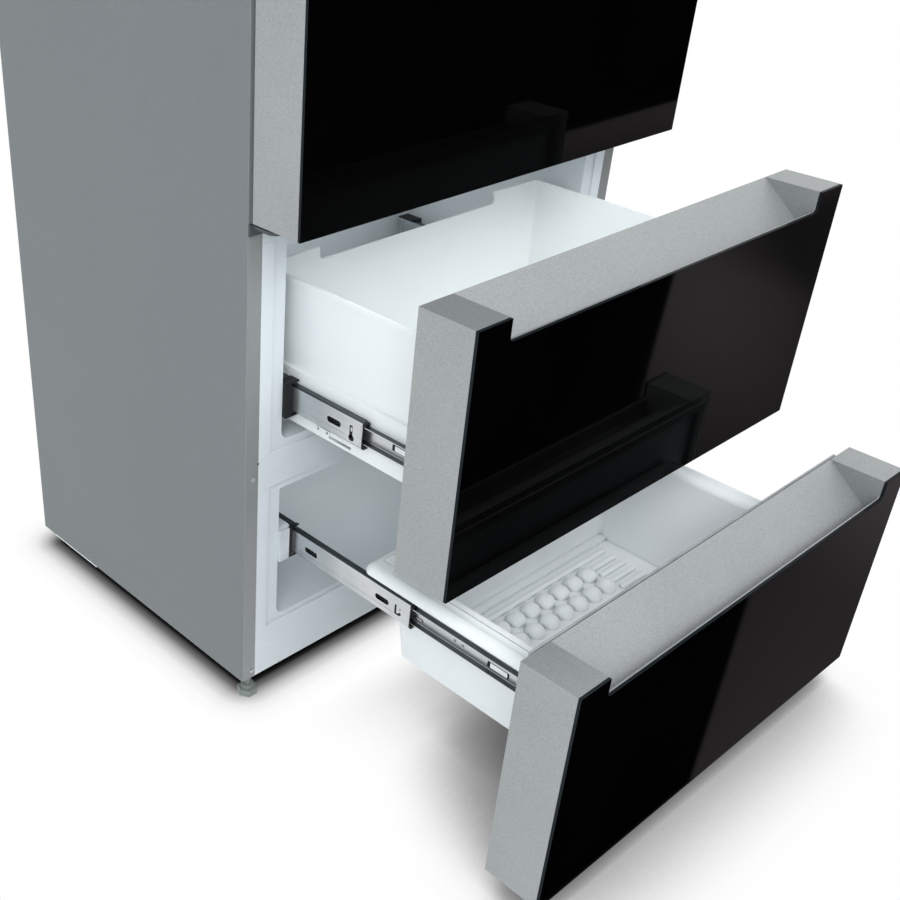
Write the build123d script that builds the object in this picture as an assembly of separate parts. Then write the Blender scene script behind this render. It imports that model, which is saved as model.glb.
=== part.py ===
from build123d import *
import os
from math import cos, radians, sin, sqrt, tan

# Refrigerator with one wide upper door and two pull-out drawers, in millimetres.
# X runs across the front, +Y to the rear and +Z up. While modelling, Y = 0 is the front face of
# the cabinet, and the whole part is moved along Y at the end so that it is centred.

# Cabinet
cabinet_width = 700.0
cabinet_depth = 514.0
cabinet_height = 1955.0
floor_clearance = 30.0
side_sheet = 0.8
fold_width = 22.5
fold_return = 11.0
fold_return_raise = 30.0
fold_bend = 1.5

# White frame round each compartment mouth
land_width = 19.5
land_step = 3.0
strip_width = 21.0
strip_height = 11.0
sill_strip_height = 8.0
liner_wall = 1.5
liner_corner = 14.0
rail_height = 51.0
rail_flange = 20.0
base_panel_height = 45.0
sill_height = 35.0
top_land_height = 22.5

# Compartments
fridge_depth = 455.0
upper_depth = 450.0
lower_depth = 445.0
machine_room_depth = 183.0
machine_room_height = 143.0
machine_room_insulation = 30.0
pan_sheet = 1.2
pan_upturn = 14.0

# Fronts: the door and the two drawer fronts
lower_front_raise = 9.0
lower_front_height = 319.0
upper_front_height = 324.0
front_gap = 12.0
front_standoff = 8.5
front_body_depth = 74.0
glass_thickness = 4.0
frame_wall = 2.0
panel_thickness = 1.5
door_top_clearance = 1.0

# Finger recess in the top edge of a drawer front
recess_end = 51.0
recess_slope = 38.0
recess_trough_radius = 6.0
recess_lip = 2.0
notch_depth = 25.5
notch_corner = 5.0

# Finger groove in the free edge of the door
groove_depth = 16.0
groove_height = 22.0
groove_inset = 20.0
groove_low = 850.0
groove_length = 600.0

# Magnetic gaskets
gasket_width = 13.0
gasket_clearance = 0.3
gasket_inset = 5.5
gasket_groove = 2.0
sill_gasket_raise = 9.0
top_gasket_drop = 4.5

# Drawer travel, and how far each drawer is drawn out at rest
upper_travel = 330.0
lower_travel = 440.0
upper_extension = 252.4
lower_extension = 436.2

# Telescopic slides, the same section left and right
slide_thickness = 1.2
slide_half_height = 22.5
slide_depth = 11.5
slide_running_gap = 0.3
slide_bend = 3.5
inner_bend = 2.4
middle_half_height = 18.5
inner_half_height = 12.0
inner_depth = 8.7
inner_web_face = 12.7
raceway_start = 5.2
raceway_end = 8.8
slot_height = 8.0
slot_length = 24.0
catch_length = 9.0
catch_height = 6.0
catch_inset = 18.5
front_slot_inset = 36.0
rear_slot_inset = 169.0
window_length = 22.0
window_inset = 22.0
rear_window_inset = 66.0
rivet_radius = 2.2
rivet_inset = 138.0
rivet_pitch = 13.0
upper_slide_inset = 10.5
lower_slide_inset = 22.5
upper_slide_raise = 58.5
lower_slide_raise = 117.5
bracket_length = 12.0
bracket_overhang = 4.0
bracket_lip = 2.0
plate_overhang = 1.5
rear_bracket_length = 30.0
pad_corner = 8.0

# Upper bin and its carrier
bin_wall = 3.0
upper_bin_side_gap = 25.0
upper_bin_draft = 10.0
upper_bin_rear = 318.0
upper_bin_rear_draft = 11.0
upper_bin_floor_raise = 24.5
upper_bin_height = 189.0
upper_bin_corner = 6.0
upper_bin_rim = 6.0
upper_bin_rim_reach = 1.5
bin_notch_inset = 90.0
bin_notch_depth = 17.0
bin_front_gap = 1.0
ledge_raise = 66.0
ledge_thickness = 2.5
carrier_sheet = 2.0
carrier_raise = 18.5
carrier_rail = 60.0
carrier_slot_length = 40.0
carrier_slot_height = 4.0
carrier_slot_raise = 4.0

# Lower bin, its tray and its carrier
mouth_side_gap = 55.0
mouth_front = 20.0
mouth_rear = 272.0
tray_draft = 16.0
tray_rear_draft = 13.3
tray_corner = 3.0
tray_sheet = 2.0
tray_gap = 0.3
tray_flange = 13.0
tray_edge = 7.0
lower_bin_floor_raise = 5.0
lower_bin_height = 155.0
shoulder_drop = 31.0
shoulder_rear = 242.0
rim_reach = 38.0
rim_rear_reach = 26.0
rim_roll = 12.0
rim_round = 11.5
rim_corner = 14.0
rim_top = 5.0
rim_groove = 1.0
valley_radius = 16.0
valley_depth = 1.8
valley_inset = 19.0
step_depth = 12.5
step_height = 5.0
bar_pitch = 17.7
bar_width = 9.5
bar_height = 5.5
bar_round = 4.5
bar_end_gap = 26.5
bar_length = 59.5
first_bar_pitch = 19.7
long_bar_inset = 28.1
bar_front_margin = 30.0
dome_radius = 15.0
dome_sink = 0.5
dome_pitch = 32.5
dome_row_pitch = 32.8
dome_rows = 2
dome_inset = 53.5
rail_plate = 2.0
rail_plate_height = 22.0

# Door hinges
pivot_inset = 16.0
pivot_forward = 20.0
pin_radius = 5.0
pin_clearance = 0.05
pin_length = 16.0
bush_wall = 3.0
bush_length = 20.0
hinge_plate = 4.0
top_plate = 3.0
top_plate_width = 108.0
top_plate_depth = 70.0
top_plate_setback = 5.0
hinge_eye = 12.0
hinge_gap = 0.3
hinge_cover_height = 15.0
hinge_cover_wall = 1.5
hinge_cover_margin = 2.0
hinge_cover_corner = 3.0
hinge_screw_radius = 5.0
hinge_screw_height = 3.0
hinge_screw_inset = 27.0
bracket_plate = 3.0
bracket_plate_width = 21.0
bracket_plate_height = 14.0

# Inside of the door
dyke_inset = 21.0
dyke_width = 16.0
dyke_reach = 45.0
dyke_end_gap = 20.0
door_bin_reach = 80.0
door_bin_wall = 2.5
door_bin_corner = 12.0
door_bin_dip = 24.0
door_bin_dip_inset = 125.0
door_bin_heights = (110.0, 90.0, 80.0)
door_bin_levels = (60.0, 480.0, 860.0)
stud_size = 6.0
stud_end_gap = 5.0

# Fridge interior
shelf_thickness = 4.0
shelf_levels = (420.0, 680.0, 930.0)
shelf_front = 96.0
shelf_rear_gap = 30.0
shelf_side_gap = 1.0
ledge_width = 10.0
ledge_height = 6.0
ledge_end_gap = 5.0
crisper_height = 165.0
crisper_wall = 2.5
crisper_gap = 6.0
crisper_corner = 12.0
crisper_cover_gap = 12.0
grip_inset = 67.0
grip_reach = 5.0
grip_height = 7.5
duct_side_gap = 137.0
duct_depth = 18.0
duct_bottom_gap = 190.0
duct_top_gap = 40.0
vent_length = 60.0
vent_inset = 15.0
vent_height = 8.0
vent_pitch = 130.0
grille_slots = 13
grille_pitch = 24.0
grille_width = 8.0
grille_height = 16.0
grille_raise = 8.0
light_length = 160.0
light_depth = 60.0
light_drop = 10.0

# Cooling parts
evaporator_cover_gap = 105.0
evaporator_side_gap = 77.0
evaporator_rows = 2
evaporator_lines = 5
evaporator_pitch = 25.0
evaporator_tube = 4.0
fin_thickness = 1.0
fin_pitch = 14.0
fin_margin = 10.0
fan_radius = 52.0
fan_hub_radius = 18.0
fan_depth = 22.0
fan_blades = 7
fan_blade_thickness = 4.0
fan_blade_width = 15.6
fan_blade_pitch = 35.0
fan_tip_gap = 3.0
fan_shaft_radius = 2.5
fan_arm = 3.0
fan_arm_half = 9.0
fan_end_gap = 0.3
compressor_radius = 66.0
compressor_height = 98.0
compressor_bulge = 24.0
compressor_plate = 3.0
compressor_plate_length = 190.0
compressor_plate_width = 110.0
compressor_offset = -130.0
pipe_radius = 4.0
pipe_length = 30.0
pipe_offset = 24.0
terminal_depth = 8.0
terminal_reach = 16.0
terminal_half = 16.0
terminal_raise = 24.0
terminal_height = 48.0
grommet_radius = 10.0
grommet_height = 11.0
grommet_flange = 3.0
grommet_stud = 3.0
louvre_rows = 5
louvre_columns = 4
louvre_length = 90.0
louvre_height = 6.0
louvre_gap = 45.0
louvre_pitch = 18.0
louvre_spacing = 112.5
gland_radius = 9.0
gland_bore = 4.0
gland_length = 12.0
gland_offset = 270.0
gland_raise = 30.0

# Feet and rollers
foot_inset = 16.0
foot_setback = 8.0
foot_flats = 26.0
foot_pad_height = 9.0
foot_collar_radius = 9.0
foot_collar_height = 7.0
foot_stem_radius = 4.5
foot_stem_rise = 15.0
foot_chamfer = 1.2
stem_well_height = 30.0
stem_well_gap = 5.0
foot_nut_height = 6.0
foot_nut_half = 12.0
roller_inset = 50.0
roller_setback = 34.0
roller_radius = 14.5
roller_width = 22.0
roller_groove = 2.0
axle_radius = 3.0
axle_clearance = 0.05
axle_head = 2.0
fork_gap = 0.6
fork_sheet = 2.0
fork_half_length = 9.0

# How far a cutting shape runs past the faces that it cuts
past = 5.0

# Places worked out from the sizes above
half_width = cabinet_width / 2
cabinet_bottom = floor_clearance
cabinet_top = cabinet_bottom + cabinet_height
fold_edge = half_width - fold_width
strip_edge = fold_edge - land_width
opening_half = strip_edge - strip_width
inside_half = half_width - side_sheet
recess_half_width = half_width - recess_end

lower_front_bottom = cabinet_bottom + lower_front_raise
lower_front_top = lower_front_bottom + lower_front_height
upper_front_bottom = lower_front_top + front_gap
upper_front_top = upper_front_bottom + upper_front_height
door_bottom = upper_front_top + front_gap
door_top = cabinet_top - door_top_clearance
front_rear = -front_standoff
front_metal = front_rear - front_body_depth
front_face = front_metal - glass_thickness

lower_rail_centre = lower_front_top + front_gap / 2
upper_rail_centre = upper_front_top + front_gap / 2
lower_rail_bottom = lower_rail_centre - rail_height / 2
lower_rail_top = lower_rail_centre + rail_height / 2
upper_rail_bottom = upper_rail_centre - rail_height / 2
upper_rail_top = upper_rail_centre + rail_height / 2
sill_bottom = cabinet_bottom + base_panel_height
sill_top = sill_bottom + sill_height
top_land_top = cabinet_top - fold_width
top_land_bottom = top_land_top - top_land_height

lower_opening_bottom = sill_top + sill_strip_height
lower_opening_top = lower_rail_bottom - strip_height
upper_opening_bottom = lower_rail_top + strip_height
upper_opening_top = upper_rail_bottom - strip_height
fridge_opening_bottom = upper_rail_top + strip_height
fridge_opening_top = top_land_bottom - strip_height

rear_inside = cabinet_depth - side_sheet
machine_room_front = cabinet_depth - machine_room_depth
machine_room_top = cabinet_bottom + pan_sheet + machine_room_height
hump_front = machine_room_front - pan_sheet - machine_room_insulation
hump_top = machine_room_top + pan_sheet + machine_room_insulation

upper_slide_spacing = opening_half - upper_slide_inset
lower_slide_spacing = opening_half - lower_slide_inset
upper_slide_z = upper_opening_bottom + upper_slide_raise
lower_slide_z = lower_opening_bottom + lower_slide_raise
carrier_bottom = upper_opening_bottom + carrier_raise
upper_bin_top_half = opening_half - upper_bin_side_gap
upper_bin_floor_half = upper_bin_top_half - upper_bin_draft
upper_bin_floor_rear = upper_bin_rear - upper_bin_rear_draft
bin_notch_half = upper_bin_top_half - bin_notch_inset
upper_bin_bottom = upper_opening_bottom + upper_bin_floor_raise
upper_bin_top = upper_bin_bottom + upper_bin_height
ledge_bottom = upper_bin_bottom + ledge_raise
bin_front = front_rear + bin_front_gap
lower_bin_bottom = lower_opening_bottom + lower_bin_floor_raise
lower_bin_top = lower_bin_bottom + lower_bin_height
shoulder_bottom = lower_bin_top - shoulder_drop
mouth_half = opening_half - mouth_side_gap
lower_bin_front = bin_front + mouth_front
tray_floor_half = mouth_half - tray_draft
tray_floor_rear = mouth_rear - tray_rear_draft
tray_floor = lower_bin_bottom + bin_wall + tray_sheet
bar_outer = tray_floor_half - bar_end_gap
bar_inner = bar_outer - bar_length
dyke_outer = opening_half - dyke_inset

pivot_x = -half_width + pivot_inset
pivot_y = front_rear - pivot_forward
evaporator_cover_y = upper_depth - evaporator_cover_gap
fan_y = evaporator_cover_y + liner_wall + fan_tip_gap
fan_z = (upper_opening_bottom + upper_opening_top) / 2
front_reach = lower_extension - front_face
centre_shift = (front_reach - cabinet_depth) / 2


def block(x0, x1, y0, y1, z0, z1):
    """A box between two limits on each axis."""
    place = Pos((x0 + x1) / 2, (y0 + y1) / 2, (z0 + z1) / 2)
    return place * Box(x1 - x0, y1 - y0, z1 - z0)


def wide(half, y0, y1, z0, z1):
    """A box as far to the left as to the right."""
    return block(-half, half, y0, y1, z0, z1)


def mirrored(shape):
    """The same shape on the other side of the middle plane."""
    return mirror(shape, about=Plane.YZ)


def both(shape):
    """A shape and its mirror image."""
    return shape + mirrored(shape)


def rod(x, y, z0, z1, radius):
    """An upright cylinder."""
    return Pos(x, y, (z0 + z1) / 2) * Cylinder(radius, z1 - z0)


def cross_rod(x0, x1, y, z, radius):
    """A cylinder along X."""
    return Pos((x0 + x1) / 2, y, z) * Rot(0, 90, 0) * Cylinder(radius, x1 - x0)


def deep_rod(x, y0, y1, z, radius):
    """A cylinder along Y."""
    return Pos(x, (y0 + y1) / 2, z) * Rot(90, 0, 0) * Cylinder(radius, y1 - y0)


def along_x(profile, x0, x1):
    """A profile drawn in Y and Z, drawn out along X."""
    return extrude(Plane.YZ.offset(x0) * profile, amount=x1 - x0)


def rounded_slab(half, y0, y1, z0, z1, corner):
    """A slab with rounded upright corners."""
    outline = RectangleRounded(2 * half, y1 - y0, corner)
    return extrude(Pos(0, (y0 + y1) / 2, z0) * outline, amount=z1 - z0)


def tapered_slab(low, high, corner):
    """A tub shape between two rounded outlines, each given as half width, front, rear and height."""
    outlines = []
    for half, y0, y1, z in (low, high):
        outline = RectangleRounded(2 * half, y1 - y0, corner)
        outlines.append(Pos(0, (y0 + y1) / 2, z) * outline)
    return loft(outlines, ruled=True)


def at_height(low, high, z):
    """The outline of a tapered slab at a height between or beyond its ends."""
    share = (z - low[3]) / (high[3] - low[3])
    return tuple(a + share * (b - a) for a, b in zip(low[:3], high[:3])) + (z,)


def grown(outline, wall, z):
    """An outline moved outwards by a wall, at another height."""
    return (outline[0] + wall, outline[1] - wall, outline[2] + wall, z)


# Cabinet shell


def side_panel():
    """Right side: a sheet folded round the front edge, with a short return behind the fold."""
    sheet = block(inside_half, half_width, 0, cabinet_depth, cabinet_bottom, cabinet_top)
    fold = block(fold_edge, half_width, 0, side_sheet, cabinet_bottom, cabinet_top)
    folded = sheet + fold
    corner = folded.edges().filter_by(Axis.Z).sort_by(Axis.Y)[:2].sort_by(Axis.X)[-1]
    folded = fillet(corner, fold_bend)
    back = side_sheet + fold_return
    low = cabinet_bottom + fold_return_raise
    lip = block(fold_edge, fold_edge + side_sheet, side_sheet, back, low, cabinet_top - side_sheet)
    return folded + lip


def top_panel():
    """Top sheet with its front fold between the side folds."""
    sheet = wide(inside_half, side_sheet, rear_inside, cabinet_top - side_sheet, cabinet_top)
    fold = wide(fold_edge, 0, side_sheet, top_land_top, cabinet_top)
    back = side_sheet + fold_return
    lip = wide(fold_edge, side_sheet, back, top_land_top, top_land_top + side_sheet)
    return sheet + fold + lip


def rear_panel():
    """Flat rear sheet above the machine room."""
    return wide(inside_half, rear_inside, cabinet_depth, machine_room_top, cabinet_top)


def roller_fork(x):
    """Two ears under the pan that hold a rear roller's axle."""
    ear_inner = roller_width / 2 + fork_gap
    ear_outer = ear_inner + fork_sheet
    y = cabinet_depth - roller_setback
    low = roller_radius - fork_half_length
    ears = None
    for side in (-1, 1):
        start, end = sorted((side * ear_inner, side * ear_outer))
        ear = block(x + start, x + end, y - fork_half_length, y + fork_half_length, low, cabinet_bottom)
        ears = ear if ears is None else ears + ear
    return ears - cross_rod(x - ear_outer - past, x + ear_outer + past, y, roller_radius, axle_radius)


def base_pan():
    """Bottom sheet with a front upturn, the step over the machine room, foot nuts and roller forks."""
    pan_top = cabinet_bottom + pan_sheet
    floor = wide(inside_half, liner_wall, cabinet_depth, cabinet_bottom, pan_top)
    upturn = wide(fold_edge, liner_wall, liner_wall + pan_sheet, pan_top, pan_top + pan_upturn)
    riser = wide(inside_half, machine_room_front - pan_sheet, machine_room_front, pan_top, machine_room_top)
    roof_top = machine_room_top + pan_sheet
    roof = wide(inside_half, machine_room_front - pan_sheet, rear_inside, machine_room_top, roof_top)
    foot_x = half_width - foot_inset
    nut_front = max(foot_setback - foot_nut_half, liner_wall)
    nut_rear = foot_setback + foot_nut_half
    nut_left = foot_x - foot_nut_half
    nut_right = min(foot_x + foot_nut_half, inside_half)
    nut = block(nut_left, nut_right, nut_front, nut_rear, pan_top, pan_top + foot_nut_height)
    hole_top = pan_top + foot_nut_height + past
    hole = rod(foot_x, foot_setback, 0, hole_top, foot_stem_radius + axle_clearance)
    pan = floor + upturn + riser + roof + both(nut)
    pan = pan + both(roller_fork(half_width - roller_inset))
    return pan - both(hole)


def compartment_space(low, high, depth):
    """The room inside a liner, with the mouth open to the front and rounded lower corners."""
    room = wide(opening_half, -past, depth, low, high)
    edges = room.edges().filter_by(Axis.Y).sort_by(Axis.Z)[:2]
    return fillet(edges, liner_corner)


def liner_body(low, high, depth, strip_low, strip_high):
    """A liner box with the recessed strip round its mouth and the lands beside it."""
    body = wide(opening_half + liner_wall, land_step, depth + liner_wall, low - liner_wall, high + liner_wall)
    bottom = low - strip_low
    top = high + strip_high
    strip = wide(strip_edge, land_step, land_step + liner_wall, bottom, top)
    land = block(strip_edge, fold_edge, 0, liner_wall, bottom, top)
    step = block(strip_edge, strip_edge + liner_wall, 0, land_step + liner_wall, bottom, top)
    return body + strip + both(land + step)


def shelf_ledge(level):
    """Ledges on both liner walls that a shelf rests on."""
    front = shelf_front + ledge_end_gap
    rear = fridge_depth - shelf_rear_gap - ledge_end_gap
    return both(block(opening_half - ledge_width, opening_half, front, rear, level - ledge_height, level))


def shelf_heights():
    """Undersides of the shelves, upwards from the fridge floor."""
    return [fridge_opening_bottom + level for level in shelf_levels]


def crisper_cover_bottom():
    """Underside of the plate over the crispers."""
    return fridge_opening_bottom + crisper_height + crisper_cover_gap


def fridge_liner():
    """Liner of the fridge compartment, with the top land and its shelf ledges."""
    body = liner_body(fridge_opening_bottom, fridge_opening_top, fridge_depth, strip_height, strip_height)
    top_land = wide(fold_edge, 0, liner_wall, top_land_bottom, top_land_top)
    top_step = wide(fold_edge, 0, land_step + liner_wall, top_land_bottom, top_land_bottom + liner_wall)
    body = body + top_land + top_step
    body = body - compartment_space(fridge_opening_bottom, fridge_opening_top, fridge_depth)
    for level in shelf_heights():
        body = body + shelf_ledge(level)
    return body + shelf_ledge(crisper_cover_bottom())


def upper_liner():
    """Liner of the upper drawer compartment."""
    body = liner_body(upper_opening_bottom, upper_opening_top, upper_depth, strip_height, strip_height)
    return body - compartment_space(upper_opening_bottom, upper_opening_top, upper_depth)


def hump(extra):
    """The raised rear of the lower compartment floor, over the machine room."""
    half = opening_half + past
    return wide(half, hump_front + extra, lower_depth + past, lower_opening_bottom - past, hump_top - extra)


def slide_pads(wall):
    """The raised pads of the lower liner that carry the slides, or the room behind their wall."""
    high = slide_half_height + bracket_lip - wall
    x0 = lower_slide_spacing + wall
    y0 = land_step + wall
    y1 = lower_travel - rear_bracket_length - wall
    pad = block(x0, opening_half + past, y0, y1, lower_slide_z - high, lower_slide_z + high)
    return both(fillet(pad.edges().filter_by(Axis.X), pad_corner - wall))


def lower_space():
    """The room inside the lower liner."""
    room = compartment_space(lower_opening_bottom, lower_opening_top, lower_depth)
    return room - hump(0) - slide_pads(0)


def lower_liner():
    """Liner of the lower drawer compartment, with the sill under its mouth."""
    bottom = lower_opening_bottom
    body = liner_body(bottom, lower_opening_top, lower_depth, sill_strip_height, strip_height)
    sill = wide(fold_edge, 0, liner_wall, sill_bottom, sill_top)
    sill_step = wide(fold_edge, 0, land_step + liner_wall, sill_top - liner_wall, sill_top)
    body = body + sill + sill_step
    below_hump = wide(half_width, hump_front + liner_wall, cabinet_depth, bottom - past,
                      hump_top - liner_wall)
    return body - lower_space() - below_hump - slide_pads(liner_wall)


def rail(bottom):
    """A white cross rail: a channel open to the rear."""
    top = bottom + rail_height
    face = wide(fold_edge, 0, liner_wall, bottom, top)
    lower_flange = wide(fold_edge, 0, rail_flange, bottom, bottom + liner_wall)
    upper_flange = wide(fold_edge, 0, rail_flange, top - liner_wall, top)
    return face + lower_flange + upper_flange


def base_front_panel():
    """White panel under the sill."""
    face = wide(fold_edge, 0, liner_wall, cabinet_bottom, sill_bottom)
    top_flange = wide(fold_edge, 0, rail_flange, sill_bottom - liner_wall, sill_bottom)
    return face + top_flange


def insulation_foam(neighbours):
    """Foam between the outer sheets and the liners."""
    foam = wide(inside_half, side_sheet, rear_inside, cabinet_bottom + pan_sheet, cabinet_top - side_sheet)
    mouths = wide(strip_edge, 0, land_step, sill_top, top_land_bottom)
    machine_room = wide(half_width, machine_room_front, cabinet_depth, cabinet_bottom, machine_room_top)
    foot_x = half_width - foot_inset
    nut_top = cabinet_bottom + pan_sheet + foot_nut_height
    well_radius = foot_stem_radius + stem_well_gap
    stem = rod(foot_x, foot_setback, cabinet_bottom, nut_top + stem_well_height, well_radius)
    foam = foam - mouths - machine_room - both(stem)
    foam = foam - compartment_space(fridge_opening_bottom, fridge_opening_top, fridge_depth)
    foam = foam - compartment_space(upper_opening_bottom, upper_opening_top, upper_depth)
    foam = foam - lower_space()
    for neighbour in neighbours:
        foam = foam - neighbour
    return foam


# Fronts


def recess_outline(top, grow):
    """Side view of the finger recess: a slope, a round trough and the wall behind the lip."""
    angle = radians(recess_slope)
    wall_y = front_metal + recess_lip
    drop = grow / cos(angle)
    radius = recess_trough_radius + grow
    centre_y = wall_y + recess_trough_radius
    slope_at_centre = top - (front_rear - centre_y) * tan(angle)
    centre_z = slope_at_centre + recess_trough_radius / cos(angle)
    start = (front_rear + past, top + past * tan(angle) - drop)
    meet = (centre_y + radius * sin(angle), centre_z - radius * cos(angle))
    turn = radians(180 + (90 - recess_slope)) / 2
    middle = (centre_y + radius * cos(turn), centre_z - radius * sin(turn))
    end = (wall_y - grow, centre_z)
    above = (wall_y - grow, top + past)
    corner = (front_rear + past, top + past)
    slope = Line(start, meet)
    trough = ThreePointArc(meet, middle, end)
    rest = Polyline(end, above, corner, start)
    return make_face(Wire([slope, trough] + list(rest.edges())))


def recess_cut(top, grow):
    """The finger recess as a solid to cut away, or grown by a wall to leave its shell."""
    half = recess_half_width + grow
    return along_x(recess_outline(top, grow), -half, half)


def notch(top):
    """The part of the recess that opens to the front, through the lip and the glass."""
    y0 = front_face - past
    y1 = front_metal + recess_lip + past
    cut = wide(recess_half_width, y0, y1, top - notch_depth, top + past)
    return fillet(cut.edges().filter_by(Axis.Y).sort_by(Axis.Z)[:2], notch_corner)


def front_ring(bottom, top):
    """The metal edge frame round a front, open to the glass and to the rear."""
    outer = wide(half_width, front_metal, front_rear, bottom, top)
    return outer - front_room(bottom, top, past)


def front_room(bottom, top, extra):
    """The room inside the edge frame."""
    y0 = front_metal - extra
    y1 = front_rear + extra
    return wide(half_width - frame_wall, y0, y1, bottom + frame_wall, top - frame_wall)


def drawer_frame(bottom, top):
    """Edge frame of a drawer front, with the finger recess in its top."""
    body = wide(half_width, front_metal, front_rear, bottom, top)
    shell = front_ring(bottom, top) + (recess_cut(top, frame_wall) & body)
    return shell - recess_cut(top, 0) - notch(top)


def drawer_glass(bottom, top):
    """Black glass of a drawer front, notched for the recess."""
    return wide(half_width, front_face, front_metal, bottom, top) - notch(top)


def drawer_panel(bottom, top):
    """White inner panel that closes the rear of a drawer front."""
    plate = wide(half_width - frame_wall, front_rear - panel_thickness, front_rear, bottom + frame_wall,
                 top - frame_wall)
    return plate - recess_cut(top, frame_wall)


def drawer_foam(bottom, top):
    """Foam that fills a drawer front."""
    room = front_room(bottom, top, 0)
    return room - recess_cut(top, frame_wall) - drawer_panel(bottom, top)


def gasket(low, high):
    """A magnetic gasket: a square ring with a bellows groove round it."""
    outer_half = fold_edge - (land_width - gasket_width) / 2 + gasket_groove / 2
    depth = front_standoff - gasket_clearance
    y1 = front_rear + depth
    inner_half = outer_half - gasket_width
    ring = wide(outer_half, front_rear, y1, low, high)
    ring = ring - wide(inner_half, front_rear - past, y1 + past, low + gasket_width, high - gasket_width)
    mid = front_rear + depth / 2
    band = wide(half_width, mid - gasket_groove / 2, mid + gasket_groove / 2, low - past, high + past)
    core = wide(outer_half - gasket_groove, front_rear - past, y1 + past, low + gasket_groove,
                high - gasket_groove)
    return ring - (band - core)


def pivot_bushes(grow):
    """Bushes in the top and bottom of the door for the hinge pins."""
    radius = pin_radius + pin_clearance + bush_wall + grow
    low = rod(pivot_x, pivot_y, door_bottom, door_bottom + bush_length + grow, radius)
    high = rod(pivot_x, pivot_y, door_top - bush_length - grow, door_top, radius)
    return low + high


def pivot_holes():
    """Running bores for the hinge pins."""
    radius = pin_radius + pin_clearance
    low = rod(pivot_x, pivot_y, door_bottom - past, door_bottom + bush_length, radius)
    high = rod(pivot_x, pivot_y, door_top - bush_length, door_top + past, radius)
    return low + high


def door_groove(grow):
    """Finger groove in the free edge of the door."""
    x0 = half_width - groove_depth - grow
    rear = front_rear - groove_inset + grow
    front = front_rear - groove_inset - groove_height - grow
    return block(x0, half_width + past, front, rear, groove_low - grow, groove_low + groove_length + grow)


def door_frame():
    """Edge frame of the door, with hinge bushes and the finger groove."""
    body = wide(half_width, front_metal, front_rear, door_bottom, door_top)
    shell = front_ring(door_bottom, door_top) + (door_groove(frame_wall) & body) + pivot_bushes(0)
    return shell - door_groove(0) - pivot_holes()


def door_glass():
    """Black glass of the door."""
    return wide(half_width, front_face, front_metal, door_bottom, door_top)


def dykes(grow):
    """Two upright ridges on the inside of the door that carry the door bins."""
    low = fridge_opening_bottom + dyke_end_gap
    high = fridge_opening_top - dyke_end_gap
    outer = dyke_outer - grow
    inner = dyke_outer - dyke_width + grow
    reach = dyke_reach - grow
    return both(block(inner, outer, front_rear - grow, reach, low + grow, high - grow))


def bin_level(index):
    """Underside of a door bin."""
    return fridge_opening_bottom + door_bin_levels[index]


def door_liner():
    """White inner panel of the door, with the hollow ridges and the studs under the bins."""
    plate = wide(half_width - frame_wall, front_rear - panel_thickness, front_rear, door_bottom + frame_wall,
                 door_top - frame_wall)
    liner = plate + dykes(0) - dykes(panel_thickness) - pivot_bushes(0) - pivot_holes()
    inner = dyke_outer - dyke_width
    for index in range(len(door_bin_levels)):
        z = bin_level(index)
        stud = block(inner - stud_size, inner, 0, dyke_reach - stud_end_gap, z - stud_size, z)
        liner = liner + both(stud)
    return liner - door_groove(frame_wall)


def door_foam():
    """Foam that fills the door and its ridges."""
    room = front_room(door_bottom, door_top, 0) + dykes(panel_thickness)
    foam = room - door_groove(frame_wall) - pivot_bushes(0) - pivot_holes()
    return foam - door_liner()


def door_bin(index):
    """An open bin between the ridges of the door."""
    z = bin_level(index)
    half = dyke_outer - dyke_width
    height = door_bin_heights[index]
    outer = rounded_slab(half, front_rear, door_bin_reach, z, z + height, door_bin_corner)
    inner = rounded_slab(half - door_bin_wall, front_rear + door_bin_wall, door_bin_reach - door_bin_wall,
                         z + door_bin_wall, z + height + past, door_bin_corner - door_bin_wall)
    low_front = wide(half - door_bin_dip_inset, door_bin_reach - door_bin_corner, door_bin_reach + past,
                     z + height - door_bin_dip, z + height + past)
    low_front = fillet(low_front.edges().filter_by(Axis.Y).sort_by(Axis.Z)[:2], door_bin_corner)
    return outer - inner - low_front


# Hinges


def top_hinge():
    """Plate on the cabinet top with the upper door pin and its two screws."""
    x0 = pivot_x - hinge_eye
    x1 = x0 + top_plate_width
    low = cabinet_top
    high = cabinet_top + top_plate
    plate = block(x0, x1, top_plate_setback, top_plate_depth, low, high)
    arm = block(x0, pivot_x + hinge_eye, pivot_y, top_plate_setback, low, high)
    eye = rod(pivot_x, pivot_y, low, high, hinge_eye)
    pin = rod(pivot_x, pivot_y, low - pin_length, low, pin_radius)
    hinge = plate + arm + eye + pin
    for x in (x0 + hinge_screw_inset, x1 - hinge_screw_inset):
        hinge = hinge + rod(x, top_plate_depth / 2, high, high + hinge_screw_height, hinge_screw_radius)
    return hinge


def top_hinge_cover():
    """Plastic cap over the top hinge."""
    x0 = pivot_x - hinge_eye - hinge_cover_margin
    x1 = pivot_x - hinge_eye + top_plate_width + hinge_cover_margin
    y0 = pivot_y - hinge_eye - hinge_cover_margin
    y1 = top_plate_depth + hinge_cover_margin
    top = cabinet_top + hinge_cover_height
    body = block(x0, x1, y0, y1, cabinet_top, top)
    upright = body.edges().filter_by(Axis.Z)
    body = fillet(upright, hinge_cover_corner)
    body = chamfer(body.faces().sort_by(Axis.Z)[-1].edges(), hinge_cover_wall)
    wall = hinge_cover_wall
    room = block(x0 + wall, x1 - wall, y0 + wall, y1 - wall, cabinet_top - past, top - wall)
    return body - fillet(room.edges().filter_by(Axis.Z), hinge_cover_corner - wall)


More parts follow.
